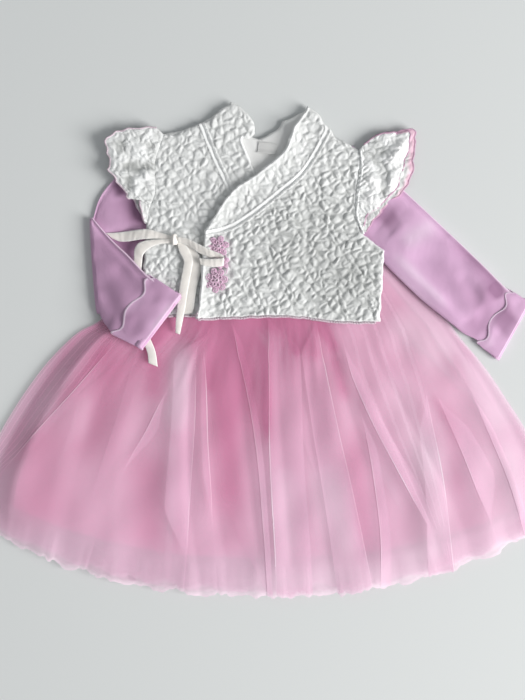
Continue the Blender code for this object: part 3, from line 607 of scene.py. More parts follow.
def make_piece(name: str, points: Array, faces: Sequence[tuple[int, ...]], finish: Finish,
               nodes: Sequence[str] = (), places: Array | None = None,
               values: dict[str, Array] | None = None, wall: float = 0.0) -> bpy.types.Object:
    """Make one dressed piece.

    Args:
        name: The piece's name.
        points: Its points in millimetres.
        faces: Its faces, facing out or up.
        finish: The cloth it is dressed in.
        nodes: The solids that it stands for.
        places: Where each point lies on the flat cloth, in millimetres. The points themselves if left out.
        values: Named values for each point, such as painted_shade and rim_and_painted_highlight.
        wall: Thickness that is added behind the faces.

    Returns:
        The piece, which rides on the garment's one body.
    """
    mesh = bpy.data.meshes.new(name)
    mesh.from_pydata((np.asarray(points) * MM).tolist(), [], list(faces))
    mesh.shade_smooth()
    flat = np.zeros((len(points), 3))
    source = np.asarray(points) if places is None else np.asarray(places)
    flat[:, :source.shape[1]] = source * MM
    cloth = mesh.attributes.new("cloth", "FLOAT_VECTOR", "POINT")
    cloth.data.foreach_set("vector", flat.ravel())
    for label, amounts in (values or {}).items():
        layer = mesh.attributes.new(label, "FLOAT", "POINT")
        layer.data.foreach_set("value", np.asarray(amounts, dtype=float).ravel())
    mesh.materials.append(finish.build())
    piece = bpy.data.objects.new(name, mesh)
    bpy.context.scene.collection.objects.link(piece)
    if wall:
        thick = piece.modifiers.new("cloth thickness", "SOLIDIFY")
        thick.thickness = wall * MM
        thick.offset = -1.0
    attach(piece, BODY)
    if nodes:
        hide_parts(*nodes)
    return piece


def declare(cut: tuple[float, float], area: float, held: Held,
            rests_on: Sequence[str]) -> None:
    """Take what size a sheet of cloth was cut to; nothing is kept or passed on.

    Args:
        cut: Width and length of its cut in millimetres.
        area: Area of the cut in square millimetres. Not used.
        held: How the cloth is held. Not used.
        rests_on: What it lies on.
    """
    width, length = cut
    list(rests_on)


def cord_mesh(line: Array, radius: Array | float, sides: int = 6,
              closed: bool = False) -> tuple[Array, Faces]:
    """Give the mesh of a thread or cord along a line.

    Args:
        line: Points of its middle.
        radius: Its radius, one value or one for each point.
        sides: Number of sides.
        closed: True for a ring.

    Returns:
        Points and faces.
    """
    ahead = np.roll(line, -1, axis=0) - np.roll(line, 1, axis=0)
    if not closed:
        ahead[0], ahead[-1] = line[1] - line[0], line[-1] - line[-2]
    ahead /= np.linalg.norm(ahead, axis=1)[:, None] + 1e-9
    side = np.cross(ahead, (0.0, 0.0, 1.0))
    side /= np.linalg.norm(side, axis=1)[:, None] + 1e-9
    up = np.cross(side, ahead)
    size = np.broadcast_to(np.asarray(radius, dtype=float), (len(line),))[:, None]
    rings = []
    for k in range(sides):
        angle = 2 * math.pi * k / sides
        rings.append(line + size * (math.cos(angle) * side + math.sin(angle) * up))
    points = np.stack(rings, axis=1).reshape(-1, 3)
    faces = grid_faces(len(line), sides, around=True)
    last = (len(line) - 1) * sides
    if closed:
        faces += [(last + k, last + (k + 1) % sides, (k + 1) % sides, k) for k in range(sides)]
    else:
        faces += [tuple(range(sides))[::-1], tuple(last + k for k in range(sides))]
    return points, faces


def joined(parts: Sequence[tuple[Array, Faces]]) -> tuple[Array, Faces]:
    """Join several meshes.

    Args:
        parts: Points and faces of each.

    Returns:
        Points and faces of all.
    """
    points, faces, start = [], [], 0
    for pts, fcs in parts:
        points.append(pts)
        faces += [tuple(start + k for k in face) for face in fcs]
        start += len(pts)
    return np.vstack(points), faces


def stitches(line: Array, length: float, gap: float, radius: float) -> list:
    """Give the meshes of a row of stitches that lie on a line.

    Args:
        line: Points of the seam, on the cloth's surface.
        length: Length of one stitch.
        gap: Distance from one stitch to the next.
        radius: Radius of the thread.

    Returns:
        One mesh for each stitch.
    """
    run = np.concatenate([[0], np.cumsum(np.linalg.norm(np.diff(line, axis=0), axis=1))])
    rows, at = [], gap
    while at + length < run[-1]:
        steps = at + length * np.array([0.0, 0.2, 0.5, 0.8, 1.0])
        place = np.stack([np.interp(steps, run, line[:, axis]) for axis in range(3)], axis=1)
        place[:, 2] += radius * np.array([-1.2, 0.3, 0.7, 0.3, -1.2])
        rows.append(cord_mesh(place, radius, sides=5))
        at += length + gap
    return rows


# Skirt


@dataclass
class SkirtForm:
    """The skirt's fan: a place across it (0 to 1) and a place down it (0 to 1), as its solids have it.

    The rows of its two sides are x and y, from the waist down.
    """

    waist_y: float = 66.0
    hem_y: float = -300.0
    hem_rise: float = 82.0
    hem_half: float = 317.0
    hem_curve: float = 2.4
    edge_flat: float = 0.02
    edge_risen: float = 0.055
    lining_inset: float = 0.06
    layer: float = 1.5
    cloth: float = 1.2
    lining_wave: float = 2.5
    under_wave: float = 3.0
    top_wave: float = 7.0
    left: Table = (
        (-109, 66), (-140, 38), (-178, 2), (-203, -12), (-233, -41), (-257, -72), (-276, -101), (-289, -124),
        (-305, -157), (-316, -218))
    right: Table = (
        (129, 66), (149, 52), (178, 24), (202, 2), (215, -15), (244, -50), (267, -84), (289, -119),
        (311, -168), (318, -218))

    def __post_init__(self) -> None:
        """Lay the two sides as smooth lines."""
        self.left_line = smooth_line(self.left, 101)
        self.right_line = smooth_line(self.right, 101)

    def side(self, line: Array, t: Array) -> Array:
        """Return the places a share t of the way down one side."""
        steps = np.arange(101)
        return np.stack([np.interp(t * 100, steps, line[:, axis]) for axis in range(2)], axis=-1)

    def hem(self, s: Array) -> Array:
        """Return the places a share s of the way across the hem."""
        x = self.left[-1][0] + s * (self.right[-1][0] - self.left[-1][0])
        return np.stack([x, self.hem_y + self.hem_rise * (np.abs(x) / self.hem_half) ** self.hem_curve],
                        axis=-1)

    def waist(self, s: Array) -> Array:
        """Return the places a share s of the way across the waist."""
        x = self.left[0][0] + s * (self.right[0][0] - self.left[0][0])
        return np.stack([x, np.full(np.shape(x), self.waist_y)], axis=-1)

    def point(self, s: Array, t: Array) -> Array:
        """Blend a place on the fan from its two sides, waist and hem.

        Args:
            s: Places across.
            t: Places down, of the same shape.

        Returns:
            X and Y of each place.
        """
        s, t = np.broadcast_arrays(np.asarray(s, dtype=float), np.asarray(t, dtype=float))
        a, b = s[..., None], t[..., None]
        zero, one = np.zeros(s.shape), np.ones(s.shape)
        corners = ((1 - a) * (1 - b) * self.waist(zero) + a * (1 - b) * self.waist(one)
                   + (1 - a) * b * self.hem(zero) + a * b * self.hem(one))
        return ((1 - a) * self.side(self.left_line, t) + a * self.side(self.right_line, t)
                + (1 - b) * self.waist(s) + b * self.hem(s) - corners)

    def locate(self, x: Array, y: Array) -> tuple[Array, Array]:
        """Find the places across and down the fan of places on the garment.

        Args:
            x: Places across the garment in millimetres.
            y: Places along it.

        Returns:
            The places across and down the fan, from 0 to 1.
        """
        grid_s, grid_t = np.meshgrid(np.linspace(0, 1, 61), np.linspace(0, 1, 61))
        at = self.point(grid_s, grid_t)
        away = np.hypot(at[..., 0].ravel()[None] - x[:, None], at[..., 1].ravel()[None] - y[:, None])
        nearest = np.argmin(away, axis=1)
        s, t = grid_s.ravel()[nearest], grid_t.ravel()[nearest]
        step = 1e-3
        for _ in range(6):
            s, t = np.clip(s, 0.0, 1 - step), np.clip(t, 0.0, 1 - step)
            here = self.point(s, t)
            by_s = (self.point(s + step, t) - here) / step
            by_t = (self.point(s, t + step) - here) / step
            size = by_s[:, 0] * by_t[:, 1] - by_s[:, 1] * by_t[:, 0]
            miss_x, miss_y = x - here[:, 0], y - here[:, 1]
            s = s + (miss_x * by_t[:, 1] - miss_y * by_t[:, 0]) / size
            t = t + (miss_y * by_s[:, 0] - miss_x * by_s[:, 1]) / size
        return np.clip(s, 0, 1), np.maximum.accumulate(np.clip(t, 0, 1) + 1e-4 * np.arange(len(t)))

    def growth(self, t: Array) -> Array:
        """Return how far the folds have opened, from the waist down."""
        return soft_step(t, 0.05, 0.6)

    def risen(self, s: Array) -> Array:
        """Return 0 along the two sides and 1 where the layers lie over each other."""
        edge = np.minimum(s, 1 - s)
        return np.clip((edge - self.edge_flat) / (self.edge_risen - self.edge_flat), 0, 1)

    def under_low(self, s: Array, t: Array) -> Array:
        """Give the under net's lower side.

        Args:
            s: Places across.
            t: Places down.

        Returns:
            Its height at each place.
        """
        over_lining = self.risen(s) * np.clip((1 - t) / 0.08, 0, 1)
        lining_top = 2 * self.layer + self.lining_wave * self.growth(t) + self.cloth
        return self.layer + over_lining * (lining_top + 0.3 - self.layer)

    def top_low(self, s: Array, t: Array) -> Array:
        """Return the height of the top net's lower side."""
        return self.under_low(s, t) + self.risen(s) * self.under_wave * self.growth(t) + self.layer


@dataclass(frozen=True)
class Wave:
    """A long soft ridge down the skirt: its place at the waist and at the hem, height and half width."""

    waist: float
    hem: float
    height: float
    width: float = 0.028


@dataclass(frozen=True)
class Pleat:
    """A fold of net that lies over itself in three layers.

    Its crisp upper edge runs from one place on the garment to another, bent sideways by a few
    millimetres. Its width at each end is how far the net overlaps there, to the left of the edge where
    it's above 0 and to the right where it's below 0.
    """

    x0: float
    y0: float
    x1: float
    y1: float
    width0: float
    width1: float
    # How much the crisp edge is lightened and made denser: the net's doubled cover, with a painted highlight.
    bright: float = 0.7
    bend: float = 0.0

    def run(self, form: SkirtForm) -> tuple[Array, Array]:
        """Follow the pleat's crisp edge.

        Args:
            form: The skirt's form.

        Returns:
            Places across and down the skirt along it.
        """
        u = np.linspace(0, 1, 13)
        dx, dy = self.x1 - self.x0, self.y1 - self.y0
        length = math.hypot(dx, dy)
        aside = (self.bend * np.sin(math.pi * u) + 0.5 * np.sin(3.1 * math.pi * u + self.x0)) / length
        return form.locate(self.x0 + dx * u - aside * dy, self.y0 + dy * u + aside * dx)

    def folds(self, form: SkirtForm, t: Array) -> list[tuple[Array, Array, Array]]:
        """Return the pleat's two fold lines in the order in which the cloth passes them.

        Args:
            form: The skirt's form.
            t: Places down the skirt.

        Returns:
            For each fold line its place across, its level and how bright its rim is, each at every t.
        """
        across, down = self.run(form)
        edge = np.interp(t, down, across)
        before = (across[1] - across[0]) / (down[1] - down[0])
        after = (across[-1] - across[-2]) / (down[-1] - down[-2])
        edge = edge + np.minimum(t - down[0], 0) * before + np.maximum(t - down[-1], 0) * after
        edge = np.clip(edge, 0.012, 0.988)
        opened = np.ones(t.shape)
        if down[0] > 0.14:
            opened = soft_step(t, down[0] - 0.02, down[0] + 0.12)
        if down[-1] < 0.95:
            opened = opened * (1 - soft_step(t, down[-1] - 0.14, down[-1] + 0.02))
        share = np.clip((t - down[0]) / (down[-1] - down[0]), 0, 1)
        wide = np.linalg.norm(form.point(np.ones(t.shape), t) - form.point(np.zeros(t.shape), t), axis=-1)
        width = (self.width0 + (self.width1 - self.width0) * share) / wide * (0.02 + 0.98 * opened)
        rim_and_painted_highlight = self.bright * opened
        lines = [(edge, 2.0 * opened, rim_and_painted_highlight), (edge - width, 0.0 * opened, 0.2 * rim_and_painted_highlight)]
        return lines if self.width1 > 0 else lines[::-1]


@dataclass
class NetLayer:
    """One layer of the skirt's net, gathered at the waist into waves and pleats."""

    name: str
    form: SkirtForm
    finish: Finish
    nodes: Sequence[str]
    rests_on: Sequence[str]
    low: Height
    wave_height: float
    waves: Table
    pleats: Table
    first: float = 0.0
    last: float = 1.0
    hem: float = 1.0
    hem_wobble: float = 3.0
    seed: int = 1
    # Painted shade where a row is above 0, painted light where it is below 0.
    shades: Table = ()
    # How strongly painted shade darkens the layer towards the waist.
    depth: float = 0.55
    rows: int = 84
    pitch: float = 0.0055
    level: float = 0.25
    rim_width: float = 0.0026
    clear: float = 0.6
    lowest: float = 0.4
    roll: float = 0.7
    roll_length: float = 38.0
    roll_seed: int = 62
    row_spread: float = 0.9
    weave_width: float = 640.0
    weave_length: float = 370.0
    cut_length: float = 375.0

    def lift(self, s: Array, t: Array) -> Array:
        """Give the height of the waves, where 1 is the tallest.

        Args:
            s: Places across.
            t: Places down.

        Returns:
            The height at each place.
        """
        total = np.zeros(s.shape)
        for wave in (Wave(*row) for row in self.waves):
            away = s - (wave.waist + (wave.hem - wave.waist) * t)
            share = np.where(away < 0, away / (1.5 * wave.width), away / (0.8 * wave.width))
            total = np.maximum(total, wave.height * np.exp(-share ** 2))
        near_waist = 1 - soft_step(t, 0.25, 0.6)
        small = 0.13 * near_waist * (1 + ripples(s * 420, t * 50, 11.0, self.seed))
        small = small + 0.12 * (1 + ripples(s * 420, t * 120, 38.0, self.seed + 1))
        return (total + small) * self.form.growth(t) * soft_step(np.minimum(s, 1 - s), 0.0, 0.06)

    def columns(self, t: Array) -> tuple[Array, Array, Array, list[int]]:
        """Lay the cloth across the skirt, back and forth through its pleats.

        Args:
            t: Places down the skirt.

        Returns:
            For each t a row of places across, of levels and of rims, and the columns of the folds.
        """
        flat, middle = np.zeros(t.shape), np.array([0.5])
        ends = [(np.full(t.shape, self.first), flat, flat + 0.5)]
        leftmost = np.full(t.shape, self.first + 0.004)
        pleats = [Pleat(*row) for row in self.pleats]
        for pleat in sorted(pleats, key=lambda p: float(p.folds(self.form, middle)[0][0][0])):
            folds = pleat.folds(self.form, t)
            crisp = 0 if pleat.width1 > 0 else 1
            shift = np.maximum(leftmost - folds[crisp][0], 0)
            leftmost = folds[crisp][0] + shift + 0.003
            ends += [(place + shift, level, bright) for place, level, bright in folds]
        ends.append((np.full(t.shape, self.last), flat, flat + 0.5))
        places, levels, rims, folded = [], [], [], []
        for (a, a_level, a_bright), (b, b_level, b_bright) in zip(ends, ends[1:]):
            span = np.abs(b - a) + 1e-6
            widest = float(span.max())
            steps = max(3, int(widest / self.pitch))
            near = min(self.rim_width / widest, 0.2)
            folded.append(len(places))
            for share in [0.0, 0.5 * near, *np.linspace(near, 1 - near, steps), 1 - 0.5 * near]:
                places.append(a + (b - a) * share)
                levels.append(a_level + (b_level - a_level) * share)
                half_rim = 0.5 * self.rim_width
                rims.append(np.maximum(a_bright * np.exp(-(share * span / half_rim) ** 2),
                                       b_bright * np.exp(-((1 - share) * span / half_rim) ** 2)))
        places.append(ends[-1][0])
        levels.append(flat)
        rims.append(flat + 0.5)
        return np.stack(places, axis=1), np.stack(levels, axis=1), np.stack(rims, axis=1), folded

    def crease_folds(self, piece: bpy.types.Object, count: int, folded: Sequence[int]) -> None:
        """Keep each fold crisp: its two sides don't share their shading.

        Args:
            piece: The layer.
            count: Number of points in one row.
            folded: Columns at which the cloth is folded.
        """
        mesh = piece.data
        pairs = np.zeros(2 * len(mesh.edges), dtype=int)
        mesh.edges.foreach_get("vertices", pairs)
        columns = pairs.reshape(-1, 2) % count
        along = (columns[:, 0] == columns[:, 1]) & np.isin(columns[:, 0], folded)
        sharp = mesh.attributes.new("sharp_edge", "BOOLEAN", "EDGE")
        sharp.data.foreach_set("value", along)

    def build(self) -> bpy.types.Object:
        """Build the layer.

        Returns:
            The piece.
        """
        t = self.hem * np.linspace(0, 1, self.rows) ** self.row_spread
        s, levels, rims, folded = self.columns(t)
        down = np.broadcast_to(t[:, None], s.shape)
        run = np.concatenate([[0], np.cumsum(np.abs(np.diff(s[-1])))]) * self.weave_width
        across = np.broadcast_to(run[None, :], s.shape)
        xy = self.form.point(s, down).copy()
        xy[..., 1] += self.hem_swing(s, down, across)
        soft = soft_step(down, 0.0, 0.25)
        height = self.low(s, down) + self.clear + self.wave_height * self.lift(s, down)
        height = height + self.level * levels * soft
        roll = self.roll * ripples(xy[..., 0], xy[..., 1] * 0.5, self.roll_length, self.roll_seed)
        height = np.maximum(height + roll * self.form.risen(s), self.lowest)
        points = np.concatenate([xy, height[..., None]], axis=-1).reshape(-1, 3)
        places = np.stack([across, down * self.weave_length], axis=-1).reshape(-1, 2)
        painted_shade, rim_and_painted_highlight = self.tones(s, down, across, xy, rims * soft)
        faces = [face[::-1] for face in grid_faces(self.rows, s.shape[1])]
        piece = make_piece(self.name, points, faces, self.finish, self.nodes, places,
                           {"rim_and_painted_highlight": rim_and_painted_highlight.ravel(), "painted_shade": painted_shade.ravel()})
        self.crease_folds(piece, s.shape[1], folded)
        lengths = [line_length(row) for row in xy]
        length = self.cut_length * self.hem
        declare((lengths[-1], length), float(np.mean(lengths)) * length, Held.GATHERED, self.rests_on)
        return piece

    def hem_swing(self, s: Array, down: Array, across: Array) -> Array:
        """Let the hem wander up and down.

        Args:
            s: Places across.
            down: Places down.
            across: Places along the unfolded cloth.

        Returns:
            How far each place moves along the garment.
        """
        still = np.zeros(s.shape)
        swing = ripples(across, still, 34.0, self.seed + 5)
        swing = swing + 0.5 * ripples(across, still, 10.0, self.seed + 6)
        return self.hem_wobble * swing * down ** 6 * soft_step(np.minimum(s, 1 - s), 0.0, 0.08)

    def tones(self, s: Array, down: Array, across: Array, xy: Array,
              folds: Array) -> tuple[Array, Array]:
        """Give the layer's painted shade, and its lighter fold lines and painted light.

        Args:
            s: Places across.
            down: Places down.
            across: Places along the unfolded cloth.
            xy: Places on the garment.
            folds: How bright the pleats' folds are.

        Returns:
            Painted shade values, and values for lighter fold lines and painted light, each from 0 to 1.
        """
        uneven = 0.65 + 0.35 * ripples(across * 0.3, down * self.weave_length, 90.0, self.seed + 2)
        hem_rim = 0.5 * soft_step(down, self.hem * 0.99, self.hem)
        rim_and_painted_highlight = np.clip(np.maximum(folds * uneven, hem_rim), 0, 1)
        # Painted shade: deepest in the gathers near the waist, darker towards the waist, and weaker on the
        # right, towards the lamp.
        gathers = 1 - soft_step(down, 0.12, 0.55)
        side = 1 - 0.85 * soft_step(s, 0.56, 0.76)
        painted_shade = 0.4 * side * gathers * (0.5 + 0.5 * ripples(across, down * 3, 9.0, self.seed + 3))
        painted_shade += self.depth * (1 - soft_step(down, 0.1, 0.85)) * side
        # Shades rows above 0 paint shade, rows below 0 paint light.
        shade = creases_lift(xy[..., 0], xy[..., 1], self.shades)
        return np.clip(painted_shade + shade, 0, 1), np.maximum(rim_and_painted_highlight, 0.5 * np.clip(-shade, 0, 1))


@dataclass
class Skirt:
    """The dress's skirt: net back, opaque lining back and front, under nets and the pleated top net.

    The rows of its tables hold the values of Wave, Pleat and Crease, in their order.
    """

    form: SkirtForm = field(default_factory=SkirtForm)
    main_waves: Table = (
        (0.090, 0.125, 0.70), (0.170, 0.235, 0.85), (0.250, 0.375, 1.00), (0.290, 0.420, 0.75),
        (0.345, 0.495, 0.90), (0.480, 0.525, 0.95), (0.560, 0.590, 0.65), (0.630, 0.687, 1.00),
        (0.665, 0.790, 0.80), (0.715, 0.845, 0.70), (0.765, 0.895, 0.90))
    top_pleats: Table = (
        (-159, -22, -285.5, -162.8, -4, -12, 0.7), (-104, -74.8, -149.1, -158.4, -6, -18, 0.9),
        (-71, -14.3, -83.1, -258.5, 24, 28, 0.7, 2), (-63.3, -30.8, -54.5, -217.8, 5, 9, 0.9),
        (-33.6, 0, 3.9, -283.8, -8, -6, 0.35, 8), (6.1, 2.2, 14.9, -290.4, -34, -40, 1.0, -2.5),
        (57.8, 0, 120.5, -290.4, 20, 38, 1.0), (107.3, -102.3, 129.2, -283.8, -8, -12, 0.5, 6),
        (83.1, -25.3, 184.3, -228.8, -8, -16, 0.6, -5), (178.8, -80.3, 208.5, -261.8, 12, 28, 0.9, 3),
        (192, -83.6, 247, -215.6, -12, -30, 0.7), (228.3, -80.3, 286.6, -231, -6, -8, 0.6, 3))
    mid_pleats: Table = (
        (-192, -4.4, -288.8, -176, 4, 9, 0.6, -6), (-145.8, -33, -239.3, -113.3, -6, -10, 0.4),
        (-134.8, -25.3, -186.5, -190.3, -10, -16, 0.4), (-71, -129.8, -54.5, -171.6, 3, 3, 0.6),
        (-62.2, -195.8, -63.3, -294.8, 4, 6, 0.7), (29.2, 2.2, 44.6, -96.8, 6, 10, 0.8, -3),
        (41.2, -85.8, 120.5, -281.6, 10, 26, 0.7), (68.8, 0, 96.3, -69.3, -5, -6, 0.7),
        (126, -25.3, 164.5, -105.6, -5, -8, 0.5), (168.9, -113.3, 157.9, -201.3, -4, -8, 0.5),
        (206.3, -8.8, 261.2, -107.8, -6, -12, 0.4))
    low_pleats: Table = (
        (-118.3, -151.8, -140.2, -184.8, -4, -6, 0.4), (-198.6, -82.5, -226.1, -162.8, -5, -9, 0.45),
        (-0.6, -173.8, 6.1, -283.8, 5, 6, 0.4), (13.8, -8.8, 44.6, -129.8, -4, -6, 0.4),
        (96.3, -118.8, 156.8, -212.3, -6, -12, 0.5), (127.1, -17.6, 280, -119.9, -6, -10, 0.55),
        (134.8, 4.4, 228.3, -83.6, -3, -6, 0.4), (261.2, -162.8, 283.2, -228.8, -3, -5, 0.5),
        (-96.3, -173.8, -99.6, -283.8, 5, 8, 0.5), (74.2, -195.8, 65.5, -290.4, -4, -6, 0.4))
    back_pleats: Table = ((-120, 60, -140, -290, 8, 20), (110, 60, 140, -290, 8, 20))
    # Narrow painted shadows beside fold edges, for the lining and the nets.
    fold_shadows: Table = (
        (2.8, -25.3, 5, -129.8, 4.4, 0.5), (-56.7, -41.8, -54.5, -74.8, 4.4, 0.5),
        (33.6, 0, 38, -36.3, 5.5, 0.6), (62.2, 0, 80.9, -33, 6.6, 0.6), (76.5, -30.8, 90.8, -85.8, 7.7, 0.5),
        (-165.6, -22, -220.6, -88, 6.6, 0.3), (206.3, -30.8, 228.3, -77, 5.5, 0.2),
        (186.5, -80.3, 199.7, -107.8, 6.6, 0.2))
    # Broad painted shade (above 0) and painted light (below 0), for the nets.
    shades: Table = (
        (-44.6, 2.2, -33.6, -206.8, 19.8, 0.7), (-24.8, 2.2, -0.6, -129.8, 16.5, 0.4),
        (98.5, -118.8, 113.9, -256.3, 13.2, 0.5), (-118.3, 7.7, -126, -30.8, 14.3, 0.6),
        (-118.3, -33, -118.3, -85.8, 12.1, 0.4), (-154.6, -25.3, -189.8, -151.8, 22, 0.4),
        (-121.6, -140.8, -121.6, -250.8, 24.2, 0.45), (-244.8, -107.8, -239.3, -228.8, 39.6, 0.45),
        (200.8, -91.3, 215.1, -195.8, 9.9, 0.25), (-68.8, 0, 85.2, 0, 11, 0.3),
        (43.5, -8.8, 61.1, -41.8, 8.8, 0.3), (2.8, -63.8, 8.2, -162.8, 13.2, 0.12),
        (-41.2, -173.8, -24.8, -250.8, 22, 0.3), (-85.2, -25.3, -95.2, -118.8, 13.2, -0.45),
        (-99.6, -129.8, -101.8, -239.8, 8.8, -0.2), (178.8, -118.8, 200.8, -261.8, 16.5, -0.5),
        (-35.8, -288.2, 195.3, -275, 19.8, -0.5), (237.1, -30.8, 266.8, -118.8, 19.8, -0.55),
        (22.6, -162.8, 32.5, -261.8, 12.1, -0.25), (151.2, -261.8, 195.3, -245.3, 17.6, -0.35),
        (145.8, 4.4, 206.3, -41.8, 19.8, -0.45), (266.8, -129.8, 281.1, -217.8, 15.4, -0.5),
        (72.1, -162.8, 98.5, -261.8, 17.6, -0.45), (145.8, -63.8, 184.3, -173.8, 19.8, -0.3),
        (239.3, -129.8, 255.8, -239.8, 15.4, -0.3), (-189.8, -80.3, -198.6, -129.8, 6.6, -0.2))

    def flat_waves(self, count: int, seed: int) -> list[Row]:
        """Lay uneven ridges all the way across a lower layer.

        Args:
            count: Number of ridges.
            seed: Picks their places.

        Returns:
            A row of Wave's values for each.
        """
        rng = random.Random(seed)
        return [((k + 0.5) / count, (k + rng.uniform(0.3, 0.7)) / count, rng.uniform(0.4, 1.0), 0.35 / count)
                for k in range(count)]

    def build_lining(self) -> None:
        """Build the opaque lining's back and front."""
        form = self.form
        inset = form.lining_inset
        back = NetLayer("skirt_lining_back_cloth", form, LINING, ["skirt_lining_back"], ["skirt_net_back"],
                        lambda s, t: np.full(s.shape, 1.4), 0.0, [], [], first=inset, last=1 - inset,
                        hem=0.905, hem_wobble=1.0, seed=31, rows=30, pitch=0.02)
        # The front lining gets the painted fold shadows and stronger painted shade towards the waist.
        front = NetLayer("skirt_lining_front_cloth", form, LINING, ["skirt_lining_front"],
                         ["skirt_lining_back_cloth"], lambda s, t: np.full(s.shape, 2 * form.layer),
                         form.lining_wave, self.flat_waves(9, 3), [], first=inset, last=1 - inset, hem=0.905,
                         hem_wobble=1.5, seed=32, shades=self.fold_shadows, depth=0.8)
        for layer in (back, front):
            layer.build()

    def build_nets(self) -> None:
        """Build the net layers, from the floor up."""
        form, shades = self.form, (*self.fold_shadows, *self.shades)
        layers = (
            NetLayer("skirt_net_back_cloth", form, HEM_NET, ["skirt_net_back"], [],
                     lambda s, t: np.full(s.shape, -0.2), 0.0, [],
                     self.back_pleats, hem=0.992, hem_wobble=2.5,
                     seed=41, rows=30, pitch=0.01, level=0.1),
            NetLayer("skirt_net_lowest", form, HEM_NET, [], ["skirt_lining_front_cloth"], form.under_low,
                     0.35, self.flat_waves(6, 8), self.low_pleats, first=0.004, last=0.996, hem=0.972,
                     seed=43, level=0.1),
            NetLayer("skirt_net_under_cloth", form, UNDER_NET, ["skirt_net_under"], ["skirt_net_lowest"],
                     lambda s, t: form.under_low(s, t) + 0.5, form.under_wave * 0.6, self.flat_waves(8, 5),
                     self.mid_pleats, shades=shades, first=0.006, last=0.994, hem=0.984, hem_wobble=3.5,
                     seed=47),
            NetLayer("skirt_net_top_cloth", form, NET, ["skirt_net_top"], ["skirt_net_under_cloth"],
                     form.top_low, form.top_wave * 0.45, self.main_waves, self.top_pleats, shades=shades,
                     seed=53))
        for layer in layers:
            layer.build()

    def build(self) -> None:
        """Build the whole skirt."""
        self.build_lining()
        self.build_nets()


# Quilting and panels


@dataclass(frozen=True)
class Quilting:
    """Crinkled quilting: uneven puffs between pulled-down stitches.

    The pitch is the mean distance between puffs. Every other puff leans the other way and is longer than it
    is wide by the stretch.
    """

    pitch: float = 9.0
    height: float = 2.1
    jitter: float = 0.30
    degrees: float = 47.0
    seed: int = 7
    stretch: float = 1.28
    crumple: float = 1.0
    chances: int = 64
    puff_edge: float = 0.38
    # Painted shade along the stitched-down valleys: its half width and its strength.
    valley_shade_width: float = 0.2
    valley_shade_strength: float = 0.42

    def relief(self, x: Array, y: Array) -> tuple[Array, Array]:
        """Give the quilting's height and its painted shade.

        Args:
            x: Places across the cloth.
            y: Places along the cloth.

        Returns:
            The height in millimetres, and the painted shade along the stitched-down valleys, falling to 0 on
            the puffs.
        """
        turn = math.radians(self.degrees)
        bend = 2.0 * ripples(x, y, 34.0, self.seed + 20)
        wx = x + 1.3 * ripples(x, y, 13.0, self.seed + 21)
        wy = y + 1.3 * ripples(x, y, 13.0, self.seed + 22)
        u = (wx * math.cos(turn) + wy * math.sin(turn) + bend) / self.pitch
        v = (wy * math.cos(turn) - wx * math.sin(turn) - bend) / self.pitch
        table = np.random.default_rng(self.seed).uniform(0, 1, (self.chances, self.chances, 4))
        near = np.full(np.shape(x), 9.0)
        second = np.full(np.shape(x), 9.0)
        tall, slope = np.zeros(np.shape(x)), np.zeros(np.shape(x))
        cu, cv = np.floor(u).astype(int), np.floor(v).astype(int)
        for du in (-1, 0, 1):
            for dv in (-1, 0, 1):
                chance = table[(cu + du) % self.chances, (cv + dv) % self.chances]
                px = u - (cu + du + 0.5 + self.jitter * (2 * chance[..., 0] - 1))
                py = v - (cv + dv + 0.5 + self.jitter * (2 * chance[..., 1] - 1))
                lean = math.pi * (0.25 + 0.5 * ((cu + du + cv + dv) % 2)) + 0.7 * (2 * chance[..., 2] - 1)
                a = (px * np.cos(lean) + py * np.sin(lean)) / self.stretch
                b = (py * np.cos(lean) - px * np.sin(lean)) * self.stretch
                away = np.hypot(a, b)
                closer = away < near
                second = np.where(closer, near, np.minimum(second, away))
                tall = np.where(closer, chance[..., 3], tall)
                slope = np.where(closer, a * (chance[..., 0] - 0.5) + b * (chance[..., 1] - 0.5), slope)
                near = np.minimum(near, away)
        gap = second - near
        puff = 1 - np.exp(-(gap / self.puff_edge) ** 1.5)
        height = self.height * puff * (0.35 + 0.75 * tall + 1.1 * slope)
        sharp = 1 - np.abs(ripples(x, y, 7.5, self.seed + 1))
        fine = 1 - np.abs(ripples(x, y, 4.0, self.seed + 2))
        crumple = 0.7 * sharp + 0.3 * fine
        # Painted shade in the stitched-down valleys.
        valley_shade = self.valley_shade_strength * np.exp(-(gap / self.valley_shade_width) ** 2)
        return height + self.crumple * crumple * (0.35 + 0.65 * puff), valley_shade


@dataclass
class Seam:
    """A line on a panel and how the cloth is finished along it."""

    line: Table
    edge: Edge

    def points(self) -> Array:
        """Return the line's points, close together."""
        return smooth_line(self.line, 8 * len(self.line))


# How far a cut edge wavers from its line: size, wavelength and seed of each ripple
CUT_WAVER = ((0.55, 18.0, 91), (0.3, 7.0, 93))


